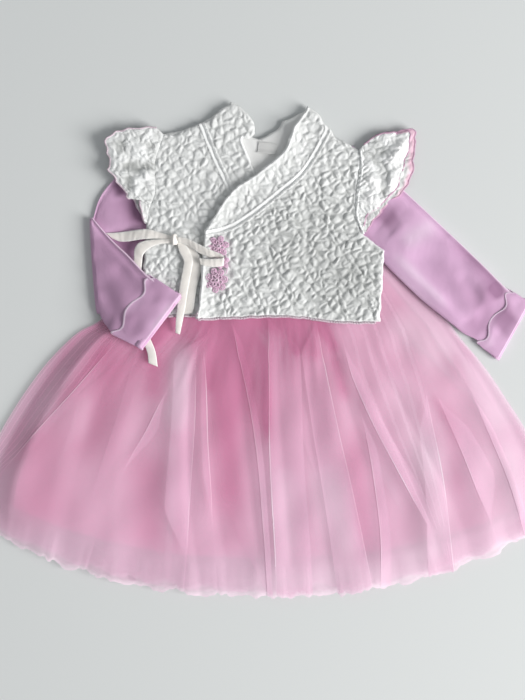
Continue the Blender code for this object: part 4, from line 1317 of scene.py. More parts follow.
def rounded_outline(corners: Table, step: float, sharp_turn: float = 38.0) -> Array:
    """Make a smooth outline that keeps its sharp corners.

    Args:
        corners: Points of the closed outline.
        step: Distance between the returned points.
        sharp_turn: Turn in degrees above which a point stays a corner.

    Returns:
        Points of the closed outline.
    """
    pts = np.array(corners, dtype=float)
    before, after = pts - np.roll(pts, 1, axis=0), np.roll(pts, -1, axis=0) - pts
    turn = np.degrees(np.abs(np.arctan2(before[:, 0] * after[:, 1] - before[:, 1] * after[:, 0],
                                        (before * after).sum(axis=1))))
    marks = [k for k in range(len(pts)) if turn[k] > sharp_turn] or [0]
    result = []
    for k, mark in enumerate(marks):
        stop = marks[(k + 1) % len(marks)]
        stop += len(pts) if stop <= mark else 0
        run = pts[[m % len(pts) for m in range(mark, stop + 1)]]
        count = max(2, int(line_length(run) / step) + 1)
        piece = smooth_line(run, count) if len(run) > 2 else np.linspace(run[0], run[-1], count)
        result.append(piece[:-1])
    outline = np.vstack(result)
    x, y = outline[:, 0].copy(), outline[:, 1].copy()
    for axis in (0, 1):
        outline[:, axis] += sum(size * ripples(x, y, length, seed + axis) for size, length, seed in CUT_WAVER)
    return outline


@dataclass
class Panel:
    """A flat cut piece: an outline, the height of its underside and what its upper side looks like."""

    name: str
    nodes: Sequence[str]
    outline: Table
    low: Height
    finish: ClothFinish
    cut: tuple[float, float]
    rests_on: Sequence[str]
    base: float = 1.3
    quilting: Quilting | None = None
    seams: Sequence[Seam] = ()
    creases: Table = ()
    # Painted shade where a row is above 0; rows below 0 add nothing.
    shades: Table = ()
    step: float = 1.2
    border: float = 2.4

    def seam_relief(self, x: Array, y: Array) -> tuple[Array, Array, Array]:
        """Give what the finished edges add.

        Args:
            x: Places across.
            y: Places along.

        Returns:
            Their height, how much of the quilting they leave (0 to 1), and the painted highlight along them (0
            to 1).
        """
        height = np.zeros(x.shape)
        leave = np.ones(x.shape)
        rim_and_painted_highlight = np.zeros(x.shape)
        for seam in self.seams:
            away = line_distance(x, y, seam.points())
            way = seam.edge.value
            uneven = 1 + way.uneven * ripples(x, y, way.wavelength, way.seed)
            height += way.bead * uneven * np.exp(-((away - way.bead_at) / way.bead_width) ** 2)
            leave = np.minimum(leave, soft_step(away, way.flat_to, way.full_from))
            # Painted highlight along each finished edge.
            rim_and_painted_highlight = np.maximum(rim_and_painted_highlight, way.bright * np.exp(-((away - way.bright_at) / way.bright_width) ** 2))
        return height, leave, rim_and_painted_highlight

    def relief(self, x: Array, y: Array, border: Array) -> tuple[Array, ...]:
        """Give the upper side above the underside.

        Args:
            x: Places across.
            y: Places along.
            border: Distance to the outline.

        Returns:
            Height, painted shade and painted highlight at each place.
        """
        extra, leave, rim_and_painted_highlight = self.seam_relief(x, y)
        height = self.base + extra + creases_lift(x, y, self.creases)
        painted_shade = np.zeros(x.shape)
        if self.quilting:
            puffs, lines = self.quilting.relief(x, y)
            fade = leave * np.clip((border - 0.3) / self.border, 0, 1)
            height = height + puffs * fade
            # Painted shade in the quilting's stitched-down valleys.
            painted_shade = lines * leave
        # Painted shade from the shades table.
        painted_shade = painted_shade + np.maximum(creases_lift(x, y, self.shades), 0)
        rounded = np.sqrt(np.clip(1 - (1 - np.clip(border / 1.3, 0, 1)) ** 2, 0, 1))
        for seam in self.seams:
            if seam.edge is Edge.DOUBLE_STITCHED:
                away = line_distance(x, y, seam.points())
                rounded = np.maximum(rounded, 0.9 * np.exp(-(away / 2.4) ** 4))
                # Painted shade in the groove between the seam's two ridges.
                painted_shade = np.maximum(painted_shade, 0.35 * np.exp(-((away - 5.0) / 0.8) ** 2))
        return height * (0.25 + 0.75 * rounded), painted_shade, rim_and_painted_highlight

    def build(self) -> bpy.types.Object:
        """Build the panel as a closed thin wall.

        Returns:
            The piece.
        """
        ring = rounded_outline(self.outline, self.step)
        x, y, border, upper = self.fill(ring)
        height, painted_shade, rim_and_painted_highlight = self.relief(x, y, border)
        low = self.low(x, y)
        points = np.vstack([np.stack([x, y, low + height], axis=1), np.stack([x, y, low], axis=1)])
        places = np.vstack([np.stack([x, y], axis=1)] * 2)
        piece = make_piece(self.name, points, wall_faces(upper, len(x)), self.finish, self.nodes, places,
                           {"painted_shade": np.tile(painted_shade, 2), "rim_and_painted_highlight": np.tile(rim_and_painted_highlight, 2)})
        declare(self.cut, outline_area(ring), Held.LAID, self.rests_on)
        return piece

    def fill(self, ring: Array) -> tuple[Array, Array, Array, Faces]:
        """Fill the outline with an even net of points.

        Args:
            ring: Points of the outline.

        Returns:
            X, y and distance to the outline of each point, and the faces, which face up.
        """
        gx, gy = np.meshgrid(np.arange(ring[:, 0].min(), ring[:, 0].max(), self.step),
                             np.arange(ring[:, 1].min(), ring[:, 1].max(), self.step * 0.866))
        gx[1::2] += self.step / 2
        gx, gy = gx.ravel(), gy.ravel()
        keep = is_inside(gx, gy, ring)
        gx, gy = gx[keep], gy[keep]
        away = line_distance(gx, gy, np.vstack([ring, ring[:1]]))
        keep = away > 0.55 * self.step
        gx, gy, away = gx[keep], gy[keep], away[keep]
        flat = [Vector(p) for p in ring] + [Vector(p) for p in zip(gx, gy)]
        result = geometry.delaunay_2d_cdt(flat, [], [list(range(len(ring)))], 1, 1e-6, True)
        verts, faces, origins = result[0], result[2], result[3]
        x, y = np.array([v[0] for v in verts]), np.array([v[1] for v in verts])
        corners = np.array([list(face) for face in faces])
        within = is_inside(x[corners].mean(axis=1), y[corners].mean(axis=1), ring)
        border = np.concatenate([np.zeros(len(ring)), away])[[ids[0] for ids in origins]]
        upper = [tuple(face) if geometry.normal([Vector((x[k], y[k], 0)) for k in face]).z > 0
                 else tuple(face)[::-1] for face, inside in zip(faces, within) if inside]
        return x, y, border, upper

    def surface(self, line: Array) -> Array:
        """Lay a line on the panel's upper side.

        Args:
            line: X and Y of its points.

        Returns:
            The points on the cloth.
        """
        x, y = line[:, 0], line[:, 1]
        ring = rounded_outline(self.outline, self.step)
        border = line_distance(x, y, np.vstack([ring, ring[:1]]))
        height = self.relief(x, y, border)[0]
        return np.stack([x, y, self.low(x, y) + height], axis=1)


# Vest


@dataclass
class VestForm:
    """Heights of the vest's layers above the floor, as its solids have them."""

    low: float = 3.8
    rise: float = 7.0
    rise_from: float = 140.0
    front_lift: float = 1.7
    overlap_lift: float = 1.8
    overlap_end: float = 34.0
    overlap_ramp: float = 16.0
    free_edge: Table = (
        (-72, 3), (-68, 31), (-63, 95), (-60, 103), (-35, 141), (-7, 161), (23, 186), (34, 212))

    def rest(self, x: Array, y: Array) -> Array:
        """Return the height of the vest's underside."""
        return self.low + self.rise * np.clip((self.rise_from - y) / self.rise_from, 0, 1)

    def left_front(self, x: Array, y: Array) -> Array:
        """Return the height of the left front's underside."""
        return self.rest(x, y) + self.front_lift

    def right_front(self, x: Array, y: Array) -> Array:
        """Give the right front's underside, which steps up over the left front.

        Args:
            x: Places across.
            y: Places along.

        Returns:
            Its height at each place.
        """
        over = np.clip((self.overlap_end + self.overlap_ramp - x) / self.overlap_ramp, 0, 1)
        lifted = 4.6 * np.exp(-(line_distance(x, y, np.array(self.free_edge, dtype=float)) / 10.0) ** 2)
        return self.left_front(x, y) + self.overlap_lift * over + lifted * over


@dataclass
class CapSleeve:
    """One quilted layer of a gathered cap sleeve, from its seam to its waving free edge."""

    name: str
    node: str
    seam: Table
    edge: Table
    form: VestForm
    lift: float
    flare: float
    wave: float
    waves: float
    seed: int
    quilting: Quilting
    gathers: int = 17
    folds: float = 6.5
    fold_height: float = 1.9
    ragged: float = 1.6
    finish: Finish = QUILT
    edging: Finish = THREAD
    creases: Table = ()
    columns: int = 170
    rows: int = 52
    turn: float = 1.6
    sway: float = 1.2
    gather_height: float = 0.7
    settled: float = 1.2
    cloth: float = 1.0
    border: float = 3.0
    fullness: float = 1.15
    area_share: float = 0.72

    def build(self) -> bpy.types.Object:
        """Build the layer and the overlocked thread on its free edge.

        Returns:
            The cloth piece.
        """
        inner, outer = self.lines()
        u = np.linspace(0, 1, self.columns)[None, :]
        v = np.linspace(0, 1, self.rows)[:, None]
        phase = 2 * math.pi * self.waves * u + self.seed
        ends = np.sin(math.pi * np.clip(u, 0.06, 0.94))
        tangent = np.gradient(outer, axis=0)
        tangent /= np.linalg.norm(tangent, axis=1)[:, None]
        flat = inner[None] * (1 - v[..., None]) + outer[None] * v[..., None]
        sway = (self.turn * np.sin(2 * phase) + self.sway * np.sin(phase * 0.7 + 2)) * v ** 2 * ends
        flat = flat + sway[..., None] * tangent[None]
        ripple = 0.5 + 0.5 * np.sin(phase + 0.6 * np.sin(5 * v))
        gather = np.sin(2 * math.pi * self.gathers * u + 1.3 * np.sin(4 * u + self.seed) + 0.8 * v)
        gather = gather * (0.6 + 0.4 * np.sin(11 * u + self.seed))
        fold = np.sin(2 * math.pi * self.folds * u + 2.6 * np.sin(5 * u + self.seed) + 2.2 * v)
        fold = 0.75 * fold + 0.45 * ripples(flat[..., 0], flat[..., 1], 17.0, self.seed + 40)
        fall = np.exp(-(v / 0.22) ** 2)
        swell = 4 * v * (1 - v) * 0.6 + 0.4 * (1 - v)
        low = self.form.rest(flat[..., 0], flat[..., 1]) + self.lift
        low = low + v * (self.flare + self.wave * ripple * ends)
        low = low + self.gather_height * (1 + gather) * fall * ends
        low = low + self.fold_height * (1 + fold) * swell * ends
        crumple = creases_lift(flat[..., 0], flat[..., 1], self.creases)
        low = low + (crumple + self.settled) * np.minimum(1, swell * 2) * ends
        length = line_length(outer)
        depth = float(np.mean(np.linalg.norm(outer - inner, axis=1)))
        puffs, lines = self.quilting.relief(flat[..., 0], flat[..., 1])
        border = np.minimum(np.minimum(v * depth, (1 - v) * depth), np.minimum(u, 1 - u) * length)
        fade = np.clip(border / self.border, 0, 1)
        # Painted shade in the quilting's valleys and in the troughs of gathers, folds and creases.
        painted_shade = lines * fade + 0.7 * np.clip(-gather, 0, 1) * fall * ends
        painted_shade = painted_shade + 0.4 * np.clip(-fold, 0, 1) ** 2 * swell * ends
        painted_shade = np.clip(painted_shade + 0.35 * np.clip(-crumple, 0, 2), 0, 1)
        # Painted highlight along the free edge and on the crests of the creases.
        bright = np.maximum(0.8 * soft_step(v, 0.86, 0.97), np.clip(0.5 * crumple, 0, 0.8))
        top = np.concatenate([flat, (low + (self.cloth + puffs * fade))[..., None]], axis=-1)
        bottom = np.concatenate([flat, low[..., None]], axis=-1)
        places = np.stack(np.broadcast_arrays(u * length * self.fullness, v * depth), axis=-1)
        faces = wall_faces(facing_up(grid_faces(self.rows, self.columns), top), self.rows * self.columns)
        points = np.vstack([top.reshape(-1, 3), bottom.reshape(-1, 3)])
        piece = make_piece(self.name, points, faces, self.finish, [self.node],
                           np.tile(places.reshape(-1, 2), (2, 1)),
                           {"painted_shade": np.tile(painted_shade.ravel(), 2), "rim_and_painted_highlight": np.tile(bright.ravel(), 2)})
        declare((length, depth), length * depth * self.area_share, Held.GATHERED, ["vest_back_cloth"])
        self.build_edging(bottom[-1] + np.array((0.0, 0.0, 0.7)))
        return piece

    def lines(self) -> tuple[Array, Array]:
        """Lay out the seam and the ragged free edge.

        Returns:
            Points along the seam and, across from each, along the free edge.
        """
        inner = smooth_line(self.seam, self.columns)
        outer = smooth_line(self.edge, self.columns)
        away = (outer - inner) / np.linalg.norm(outer - inner, axis=1)[:, None]
        rag = self.ragged * ripples(outer[:, 0], outer[:, 1], 15.0, self.seed + 30)
        return inner, outer + rag[:, None] * away

    def build_edging(self, line: Array) -> None:
        """Wrap the free edge in overlocked thread.

        Args:
            line: Points of the edge.
        """
        smooth = smooth_line(line[::4], 460)
        bumps = 1.0 + 0.2 * np.sin(np.arange(len(smooth)) * 1.9)
        points, faces = cord_mesh(smooth, bumps, sides=7)
        make_piece(f"{self.name}_edging", points, faces, self.edging)


@dataclass
class Vest:
    """The quilted wrap vest: back, two fronts, collar bands, cap sleeves and its label.

    The rows of its lines are x and y, and those of its creases hold Crease's values in their order.
    """

    form: VestForm = field(default_factory=VestForm)
    left_side: Table = ((-119, 176), (-119, 141), (-126, 121), (-127, 107), (-130, 57), (-124, 7))
    left_neck: Table = ((-22, 201), (-21, 194), (-7, 161), (5, 132))
    left_band_seam: Table = ((-67, 218), (-52.5, 182), (-36.5, 148), (-29.5, 134), (-18.5, 111.5))
    right_hem: Table = ((-72, 3), (-20, 5), (30, 6), (83, 0), (128, 0))
    right_armhole: Table = ((133, 78), (109, 97), (105, 113), (102, 129), (105, 158), (108, 182))
    right_shoulder: Table = ((105, 188), (91, 197), (81, 201), (71, 214))
    right_band_seam: Table = (
        (-63, 95.3), (-38, 102), (-15, 115), (18, 141), (46, 166), (69.4, 205), (71, 214))
    back: Table = (
        (-109, 206), (-85, 211), (-67, 218), (-50, 229), (-40, 236), (-25, 222), (-14, 205), (-4, 200),
        (4, 204), (18, 213), (23, 220), (45, 231), (50, 237), (60, 228), *right_shoulder[::-1],
        *right_armhole[::-1], (128, 1), (30, 7), *left_side[::-1])
    left_front: Table = (
        (-67, 218), (-85, 211), (-97, 204), (-109, 206), *left_side, (30, 7), (30, 85),
        *left_band_seam[:0:-1])
    left_collar: Table = (
        (-67, 218), (-60, 220), (-50, 229), (-34, 241), (-17, 229), (-9, 216), (-9, 206), (-15, 201),
        *left_neck, *left_band_seam[:0:-1])
    right_front: Table = (
        (-64, 89), (-68, 31), *right_hem, *right_armhole, *right_shoulder, *right_band_seam[-2::-1])
    right_collar: Table = (
        (50, 237), (34, 212), (28, 199), (23, 186), (-7, 161), (-35, 141), (-60, 103), (-63, 99),
        *right_band_seam, (58, 229))
    raised_seam: Table = (
        (107.3, 187), (108.4, 174.9), (108.4, 161.7), (105.6, 145.2), (104, 128.7), (102.9, 118.8),
        (105.6, 107.8), (110.6, 95.7))
    cap_left_seam: Table = (
        (-108, 205), (-117.4, 177), (-118, 160), (-117.6, 142), (-124.6, 121), (-125.6, 108))
    cap_left_edge: Table = (
        (-117, 213), (-144, 210), (-160, 206), (-170, 197), (-167, 181), (-166, 164), (-153, 146),
        (-144, 134), (-137, 140), (-133, 126), (-129.5, 110))
    cap_left_back_edge: Table = (
        (-117, 212), (-142, 208), (-158, 203), (-166, 193), (-163, 176), (-158, 160), (-150, 147),
        (-141, 136), (-138, 129), (-133, 118), (-129, 107))
    cap_right_seam: Table = (
        (104.5, 187), (107.2, 181), (104.8, 160), (101.2, 129), (104.6, 113), (108.4, 98.5))
    cap_right_edge: Table = (
        (112, 195), (128, 205), (146, 207), (162, 205), (159, 190), (155, 175), (148, 150), (134, 133),
        (125, 124), (115, 118), (110, 104))
    cap_right_back_edge: Table = (
        (114, 196), (129, 206), (148, 208), (167, 209), (164, 178), (163, 162), (158, 150), (150, 139),
        (139, 131), (122, 111), (114, 98))
    cap_left_creases: Table = (
        (-145.8, 202.4, -119.4, 191.4, 5.2, -2.2), (-128.2, 205.7, -121.6, 200.2, 6.3, 2.8),
        (-148, 200.2, -126, 189.2, 7.6, 2.7), (-160.1, 198, -152.4, 184.8, 6.3, -2.2),
        (-142.5, 187, -126, 178.2, 6.3, 2.5), (-154.6, 170.5, -119.4, 168.3, 5.2, -2.2),
        (-148, 160.6, -141.4, 145.2, 6.3, -2.2), (-137, 160.6, -140.2, 139.7, 5.2, 2.8),
        (-130.4, 167.2, -126, 154, 5.2, 2.8), (-165.6, 189.2, -164.5, 169.4, 5.2, 2.2),
        (-159, 180.4, -148, 174.9, 5.2, 1.8))
    cap_right_creases: Table = (
        (135.9, 169.4, 160.1, 202.4, 5.8, 2.8), (146.9, 160.6, 159, 189.2, 5.2, 1.8),
        (109.5, 187, 135.9, 165, 5.2, -2.2), (133.7, 165, 131.5, 136.4, 5.2, -2.2),
        (116.1, 159.5, 126, 143, 5.2, 2.8), (111.7, 138.6, 127.1, 126.5, 5.2, 2.5),
        (120.5, 198, 131.5, 182.6, 5.2, -2.2), (133.7, 200.2, 144.7, 206.8, 5.2, 2.2),
        (142.5, 158.4, 138.1, 143, 5.2, 2.5), (116.1, 178.2, 120.5, 167.2, 5.2, 1.8))
    quilting: Quilting = Quilting(9.0, 1.8, 0.32, 47.0, 7, 1.28, 0.8)
    deep_quilting: Quilting = Quilting(8.8, 2.5, 0.34, 45.0, 8, 1.4, 1.0)
    cap_quilting: Quilting = Quilting(7.4, 1.3, 0.34, 30.0, 17, 1.28, 0.7)
    label_place: Row = (5.0, 190.0)
    label_size: Row = (20, 12)
    label_degrees: float = -7.0

    def panels(self) -> list[Panel]:
        """Lay out the vest's flat panels.

        Returns:
            The panels, from the lowest up.
        """
        form = self.form
        free = form.free_edge
        right_seam = Seam(self.right_band_seam, Edge.DOUBLE_STITCHED)
        left_seam = Seam(self.left_band_seam, Edge.DOUBLE_STITCHED)
        return [
            Panel("vest_back_cloth", ["vest_back"], self.back, form.rest, GREY, (263, 236),
                  ["bodice_front_cloth"], step=2.5,
                  creases=((-14, 205, 2, 168, 7, 0.5), (26, 212, 12, 180, 7, 0.8))),
            Panel("vest_front_left_cloth", ["vest_front_left"], self.left_front, form.left_front, QUILT,
                  (160, 211), ["vest_back_cloth"], quilting=self.quilting,
                  # Painted shadow beside the raised free edge of the right front and collar, on the left
                  # front.
                  shades=((-58, 108, 0, 150, 7, 0.7), (-66, 20, -62, 95, 6, 0.5)),
                  seams=(left_seam, Seam(((-124, 7), (-60, 7), (30, 7)), Edge.OVERLOCKED),
                         Seam(((-130, 57), (-124, 7)), Edge.OVERLOCKED))),
            Panel("collar_left_cloth", ["collar_left"], self.left_collar, form.left_front, QUILT, (150, 42),
                  ["vest_back_cloth"], quilting=self.quilting,
                  seams=(left_seam, Seam(self.left_neck, Edge.ROLLED))),
            Panel("vest_front_right_cloth", ["vest_front_right"], self.right_front, form.right_front, QUILT,
                  (205, 214), ["vest_front_left_cloth"], quilting=self.deep_quilting,
                  # Painted shade over the right front.
                  shades=((120, 10, 10, 120, 62, 0.42), (115, 30, 95, 70, 30, 0.15)),
                  seams=(right_seam, Seam(free[:3], Edge.ROLLED),
                         Seam(self.right_hem, Edge.OVERLOCKED), Seam(((128, 0), (133, 78)), Edge.OVERLOCKED),
                         Seam(self.right_armhole, Edge.ROLLED))),
            Panel("collar_right_cloth", ["collar_right"], self.right_collar, form.right_front, QUILT,
                  (195, 36), ["collar_left_cloth"], quilting=self.quilting,
                  seams=(right_seam, Seam(free[2:], Edge.ROLLED),
                         Seam(((34, 212), (50, 237)), Edge.ROLLED)))]

    def caps(self) -> list[CapSleeve]:
        """Lay out both cap sleeves.

        Returns:
            Their layers, from the lowest up.
        """
        form, quilting = self.form, self.cap_quilting
        back_lift, front_lift = 0.2, form.front_lift + 0.2
        return [
            CapSleeve("cap_left_back_cloth", "cap_sleeve_left_back", self.cap_left_seam,
                      self.cap_left_back_edge, form, back_lift, 1.0, 2.0, 4, 2, quilting, fold_height=0.8,
                      edging=PALE_THREAD),
            CapSleeve("cap_left_front_cloth", "cap_sleeve_left_front", self.cap_left_seam, self.cap_left_edge,
                      form, front_lift, 3.4, 4.0, 5, 4, quilting, folds=3.2, fold_height=0.9,
                      edging=PALE_THREAD, creases=self.cap_left_creases),
            # The right back layer's rims and painted highlights are a painted pink reflection.
            CapSleeve("cap_right_back_cloth", "cap_sleeve_right_back", self.cap_right_seam,
                      self.cap_right_back_edge, form, back_lift, 1.0, 2.0, 4, 2, quilting, fold_height=0.8,
                      finish=PINK_REFLECTION_QUILT),
            # The right front layer is in a lighter copy of the quilting: painted light.
            CapSleeve("cap_right_front_cloth", "cap_sleeve_right_front", self.cap_right_seam,
                      self.cap_right_edge, form, front_lift, 0.8, 2.0, 5, 4, quilting, folds=2.7,
                      fold_height=0.5, finish=LIT_QUILT, creases=self.cap_right_creases)]

    def build_label(self) -> None:
        """Build the small blank label inside the neck."""
        turn = math.radians(self.label_degrees)
        half_x, half_y = self.label_size[0] / 2, self.label_size[1] / 2
        x, y = np.meshgrid(np.linspace(-half_x, half_x, 42), np.linspace(-half_y, half_y, 26))
        px = self.label_place[0] + x * math.cos(turn) - y * math.sin(turn)
        py = self.label_place[1] + x * math.sin(turn) + y * math.cos(turn)
        pz = self.form.low + 3.0 + 0.3 * np.cos(x / 4) + 0.25 * np.clip(-y - 2, 0, 4)
        points = np.stack([px, py, pz], axis=-1).reshape(-1, 3)
        rim_and_painted_highlight = np.clip(np.maximum(np.abs(x) - half_x, np.abs(y) - half_y) + 0.7, 0, 1)
        piece = make_piece("neck_label_tape", points, grid_faces(26, 42), TAPE, ["neck_label"],
                           values={"rim_and_painted_highlight": rim_and_painted_highlight.ravel()}, wall=0.4)
        area = self.label_size[0] * self.label_size[1]
        declare(self.label_size, area, Held.LAID, ["vest_back_cloth"])

    def build_stitching(self, panels: Sequence[Panel]) -> None:
        """Sew a row of stitches on each side of both band seams.

        Args:
            panels: The vest's panels.
        """
        rows = []
        by_name = {panel.name: panel for panel in panels}
        for seam, names in ((self.left_band_seam, ("vest_front_left_cloth", "collar_left_cloth")),
                            (self.right_band_seam, ("vest_front_right_cloth", "collar_right_cloth"))):
            line = smooth_line(seam, 220)
            ahead = np.gradient(line, axis=0)
            ahead /= np.linalg.norm(ahead, axis=1)[:, None]
            side = np.stack([-ahead[:, 1], ahead[:, 0]], axis=1)
            for name, away in ((names[0], -3.1), (names[1], 3.1)):
                for sign in (1, -1):
                    shifted = line + sign * away * side
                    panel = by_name[name]
                    ring = rounded_outline(panel.outline, panel.step)
                    if is_inside(shifted[:, 0], shifted[:, 1], ring).mean() > 0.8:
                        keep = is_inside(shifted[:, 0], shifted[:, 1], ring)
                        rows += stitches(panel.surface(shifted[keep]), 2.4, 0.9, 0.28)
        points, faces = joined(rows)
        make_piece("band_topstitching", points, faces, WHITE_THREAD)

    def build_armhole_seam(self) -> None:
        """Lay the raised seam along the right front's armhole."""
        line = smooth_line(self.raised_seam, 160)
        high = self.form.right_front(line[:, 0], line[:, 1]) + 3.0 + 0.3 * np.sin(np.arange(160) * 0.5)
        points, faces = cord_mesh(np.column_stack([line, high]), 1.25 + 0.2 * np.sin(np.arange(160) * 0.9), 8)
        make_piece("armhole_seam_right", points, faces, QUILT, values={"rim_and_painted_highlight": np.full(len(points), 0.8)})

    def build_hem_thread(self, panels: Sequence[Panel]) -> None:
        """Overlock the hems of both fronts with pale thread.

        Args:
            panels: The vest's panels.
        """
        parts = []
        by_name = {panel.name: panel for panel in panels}
        for name, start, end in (("vest_front_left_cloth", -123, -71), ("vest_front_right_cloth", -71, 127)):
            panel = by_name[name]
            ring = rounded_outline(panel.outline, panel.step)
            hem = ring[(ring[:, 1] < 12) & (ring[:, 0] > start) & (ring[:, 0] < end)]
            hem = smooth_line(hem[np.argsort(hem[:, 0])][::3], 500)
            low = panel.low(hem[:, 0], hem[:, 1]) + 2.0 + 0.3 * np.sin(np.arange(500) * 0.9)
            hem[:, 1] -= 0.9
            parts.append(cord_mesh(np.column_stack([hem, low]), 1.05 + 0.3 * np.sin(np.arange(500) * 1.7)))
        points, faces = joined(parts)
        make_piece("vest_hem_thread", points, faces, PALE_THREAD)

    def build(self) -> None:
        """Build the vest."""
        panels = self.panels()
        for panel in panels:
            panel.build()
            LOG.info("built %s", panel.name)
        for cap in self.caps():
            cap.build()
            LOG.info("built %s", cap.name)
        self.build_label()
        self.build_stitching(panels)
        self.build_hem_thread(panels)
        self.build_armhole_seam()


# Sleeves and cuffs


@dataclass
class FlatTube:
    """A sleeve or cuff pressed flat: rings from one edge over the top to the other and back below."""

    name: str
    nodes: Sequence[str]
    cut: tuple[float, float]
    rests_on: Sequence[str]
    finish: ClothFinish = KNIT
    around: int = 120
    wall: float = 0.8
    held: Held = Held.LAID

    def ring(self, upper: Array, lower: Array, half: float, normal: Array) -> Array:
        """Give one flattened ring.

        Args:
            upper: The ring's one edge.
            lower: Its other edge.
            half: Half its thickness.
            normal: Direction of its upper side.

        Returns:
            Points round the ring, upper side first.
        """
        steps = self.around // 2
        angle = np.linspace(0, math.pi, steps, endpoint=False)
        share = 0.5 - 0.5 * np.sign(np.cos(angle)) * np.abs(np.cos(angle)) ** 0.85
        raised = np.abs(np.sin(angle)) ** 0.6
        top = upper + (lower - upper) * share[:, None] + normal * half * raised[:, None]
        back = lower + (upper - lower) * share[:, None] - normal * half * raised[:, None]
        return np.vstack([top, back])

    def level_ring(self, row: Row, up: float = 1.0) -> Array:
        """Give a ring that lies level.

        Args:
            row: X, y and z of its one edge, the same of its other edge, and half its thickness.
            up: 1 with its upper side first, -1 with its lower side first.

        Returns:
            Points round the ring.
        """
        ax, ay, az, bx, by, bz, half = row
        return self.ring(np.array((ax, ay, az + half)), np.array((bx, by, bz + half)), half,
                         np.array((0.0, 0.0, up)))

    def build(self, rings: Sequence[Array], painted_shade: Array | None = None,
              rim_and_painted_highlight: Array | None = None) -> bpy.types.Object:
        """Build the tube.

        Args:
            rings: Its rings, from the shoulder down.
            painted_shade: Painted shade for each point, ring by ring.
            rim_and_painted_highlight: Lighter rims and painted highlights for each point, ring by ring.

        Returns:
            The piece.
        """
        stack = np.array(rings)
        rows, count = stack.shape[0], stack.shape[1]
        faces = grid_faces(rows, count, around=True)
        centre = stack.mean(axis=(0, 1))
        volume = 0.0
        flat = stack.reshape(-1, 3) - centre
        for face in faces[::7]:
            a, b, c = flat[face[0]], flat[face[1]], flat[face[2]]
            volume += float(np.dot(a, np.cross(b, c)))
        if volume < 0:
            faces = [face[::-1] for face in faces]
        run = np.concatenate([[0], np.cumsum(np.linalg.norm(np.diff(stack.mean(axis=1), axis=0), axis=1))])
        girth = np.linspace(0, self.cut[0], count)
        places = np.stack(np.meshgrid(girth, run), axis=-1).reshape(-1, 2)
        values = {"painted_shade": np.zeros(rows * count) if painted_shade is None else painted_shade.ravel(),
                  "rim_and_painted_highlight": np.zeros(rows * count) if rim_and_painted_highlight is None else rim_and_painted_highlight.ravel()}
        piece = make_piece(self.name, stack.reshape(-1, 3), faces, self.finish, self.nodes, places, values,
                           self.wall)
        girths = [line_length(np.vstack([ring[-1:], ring])) for ring in stack]
        area = sum(girths) / rows * run[-1]
        declare(self.cut, area, self.held, self.rests_on)
        return piece


@dataclass(frozen=True)
class Cuff:
    """A turned-back cuff with a waving free edge and an open end.

    A row of stations is x, y and z of the cuff's one edge and the same of its other edge.
    """

    node: str
    stations: Table
    half: float
    rests_on: Sequence[str]
    wave: float = 7.0
    waves: int = 6
    lip: float = 2.4
    settle: float = 0.45
    # Painted shade where a row is above 0 and painted highlight where it is below 0.
    shades: Table = ()

    def build(self) -> bpy.types.Object:
        """Build the cuff.

        Returns:
            The piece.
        """
        tube = FlatTube(f"{self.node}_cloth", [self.node], (150, 34), self.rests_on, around=180,
                        held=Held.FOLDED)
        smooth = smooth_line(self.stations, 26)
        ahead = smooth[1, :3] - smooth[0, :3]
        ahead /= np.linalg.norm(ahead)
        rings = []
        for down, row in zip(np.linspace(0, 1, len(smooth)), smooth):
            ring = tube.level_ring((*row, self.half))
            share = np.arange(len(ring)) / len(ring)
            near = 1 - soft_step(down, 0.0, 0.6)
            phase = 2 * math.pi * self.waves * share
            push = self.wave * (0.5 + 0.5 * np.sin(phase + 0.9 * np.sin(2 * math.pi * share)))
            ring = ring + near * push[:, None] * ahead
            settled = self.settle * (1 - soft_step(down, 0.0, 0.3))
            above = ring[:, 2] > row[2] + self.half
            ring[:, 2] += (near * 0.5 * np.sin(phase + 1.1) - settled) * above
            ring[:, 2] += 0.35 * ripples(ring[:, 0], ring[:, 1], 20.0, 5) * above
            rings.append(ring)
        last = rings[-1]
        centre = last.mean(axis=0)
        back = smooth[-1, :3] - smooth[-2, :3]
        back /= np.linalg.norm(back)
        upper_side = (last[:, 2] > centre[2]).astype(float)[:, None]
        lip = self.lip * (1 - upper_side) * back
        rings[-1] = last + lip * 0.9
        for inward, push in ((0.18, 0.5), (0.42, 0.1), (0.5, -2.5), (0.5, -7.0)):
            ring = last.copy() + back * push + lip * (1.0 if push > 0 else 0.4)
            ring[:, 2] += (centre[2] - last[:, 2]) * inward
            rings.append(ring)
        stack = np.array(rings)
        # Painted highlights along the waving free edge and the turned end, besides those from the shades rows.
        shade = creases_lift(stack[..., 0], stack[..., 1], self.shades)
        rim_and_painted_highlight = np.clip(-shade, 0, 1)
        rim_and_painted_highlight[:2] = 0.9
        rim_and_painted_highlight[-5:-3] = 0.6
        return tube.build(rings, np.clip(shade, 0, 1), rim_and_painted_highlight)


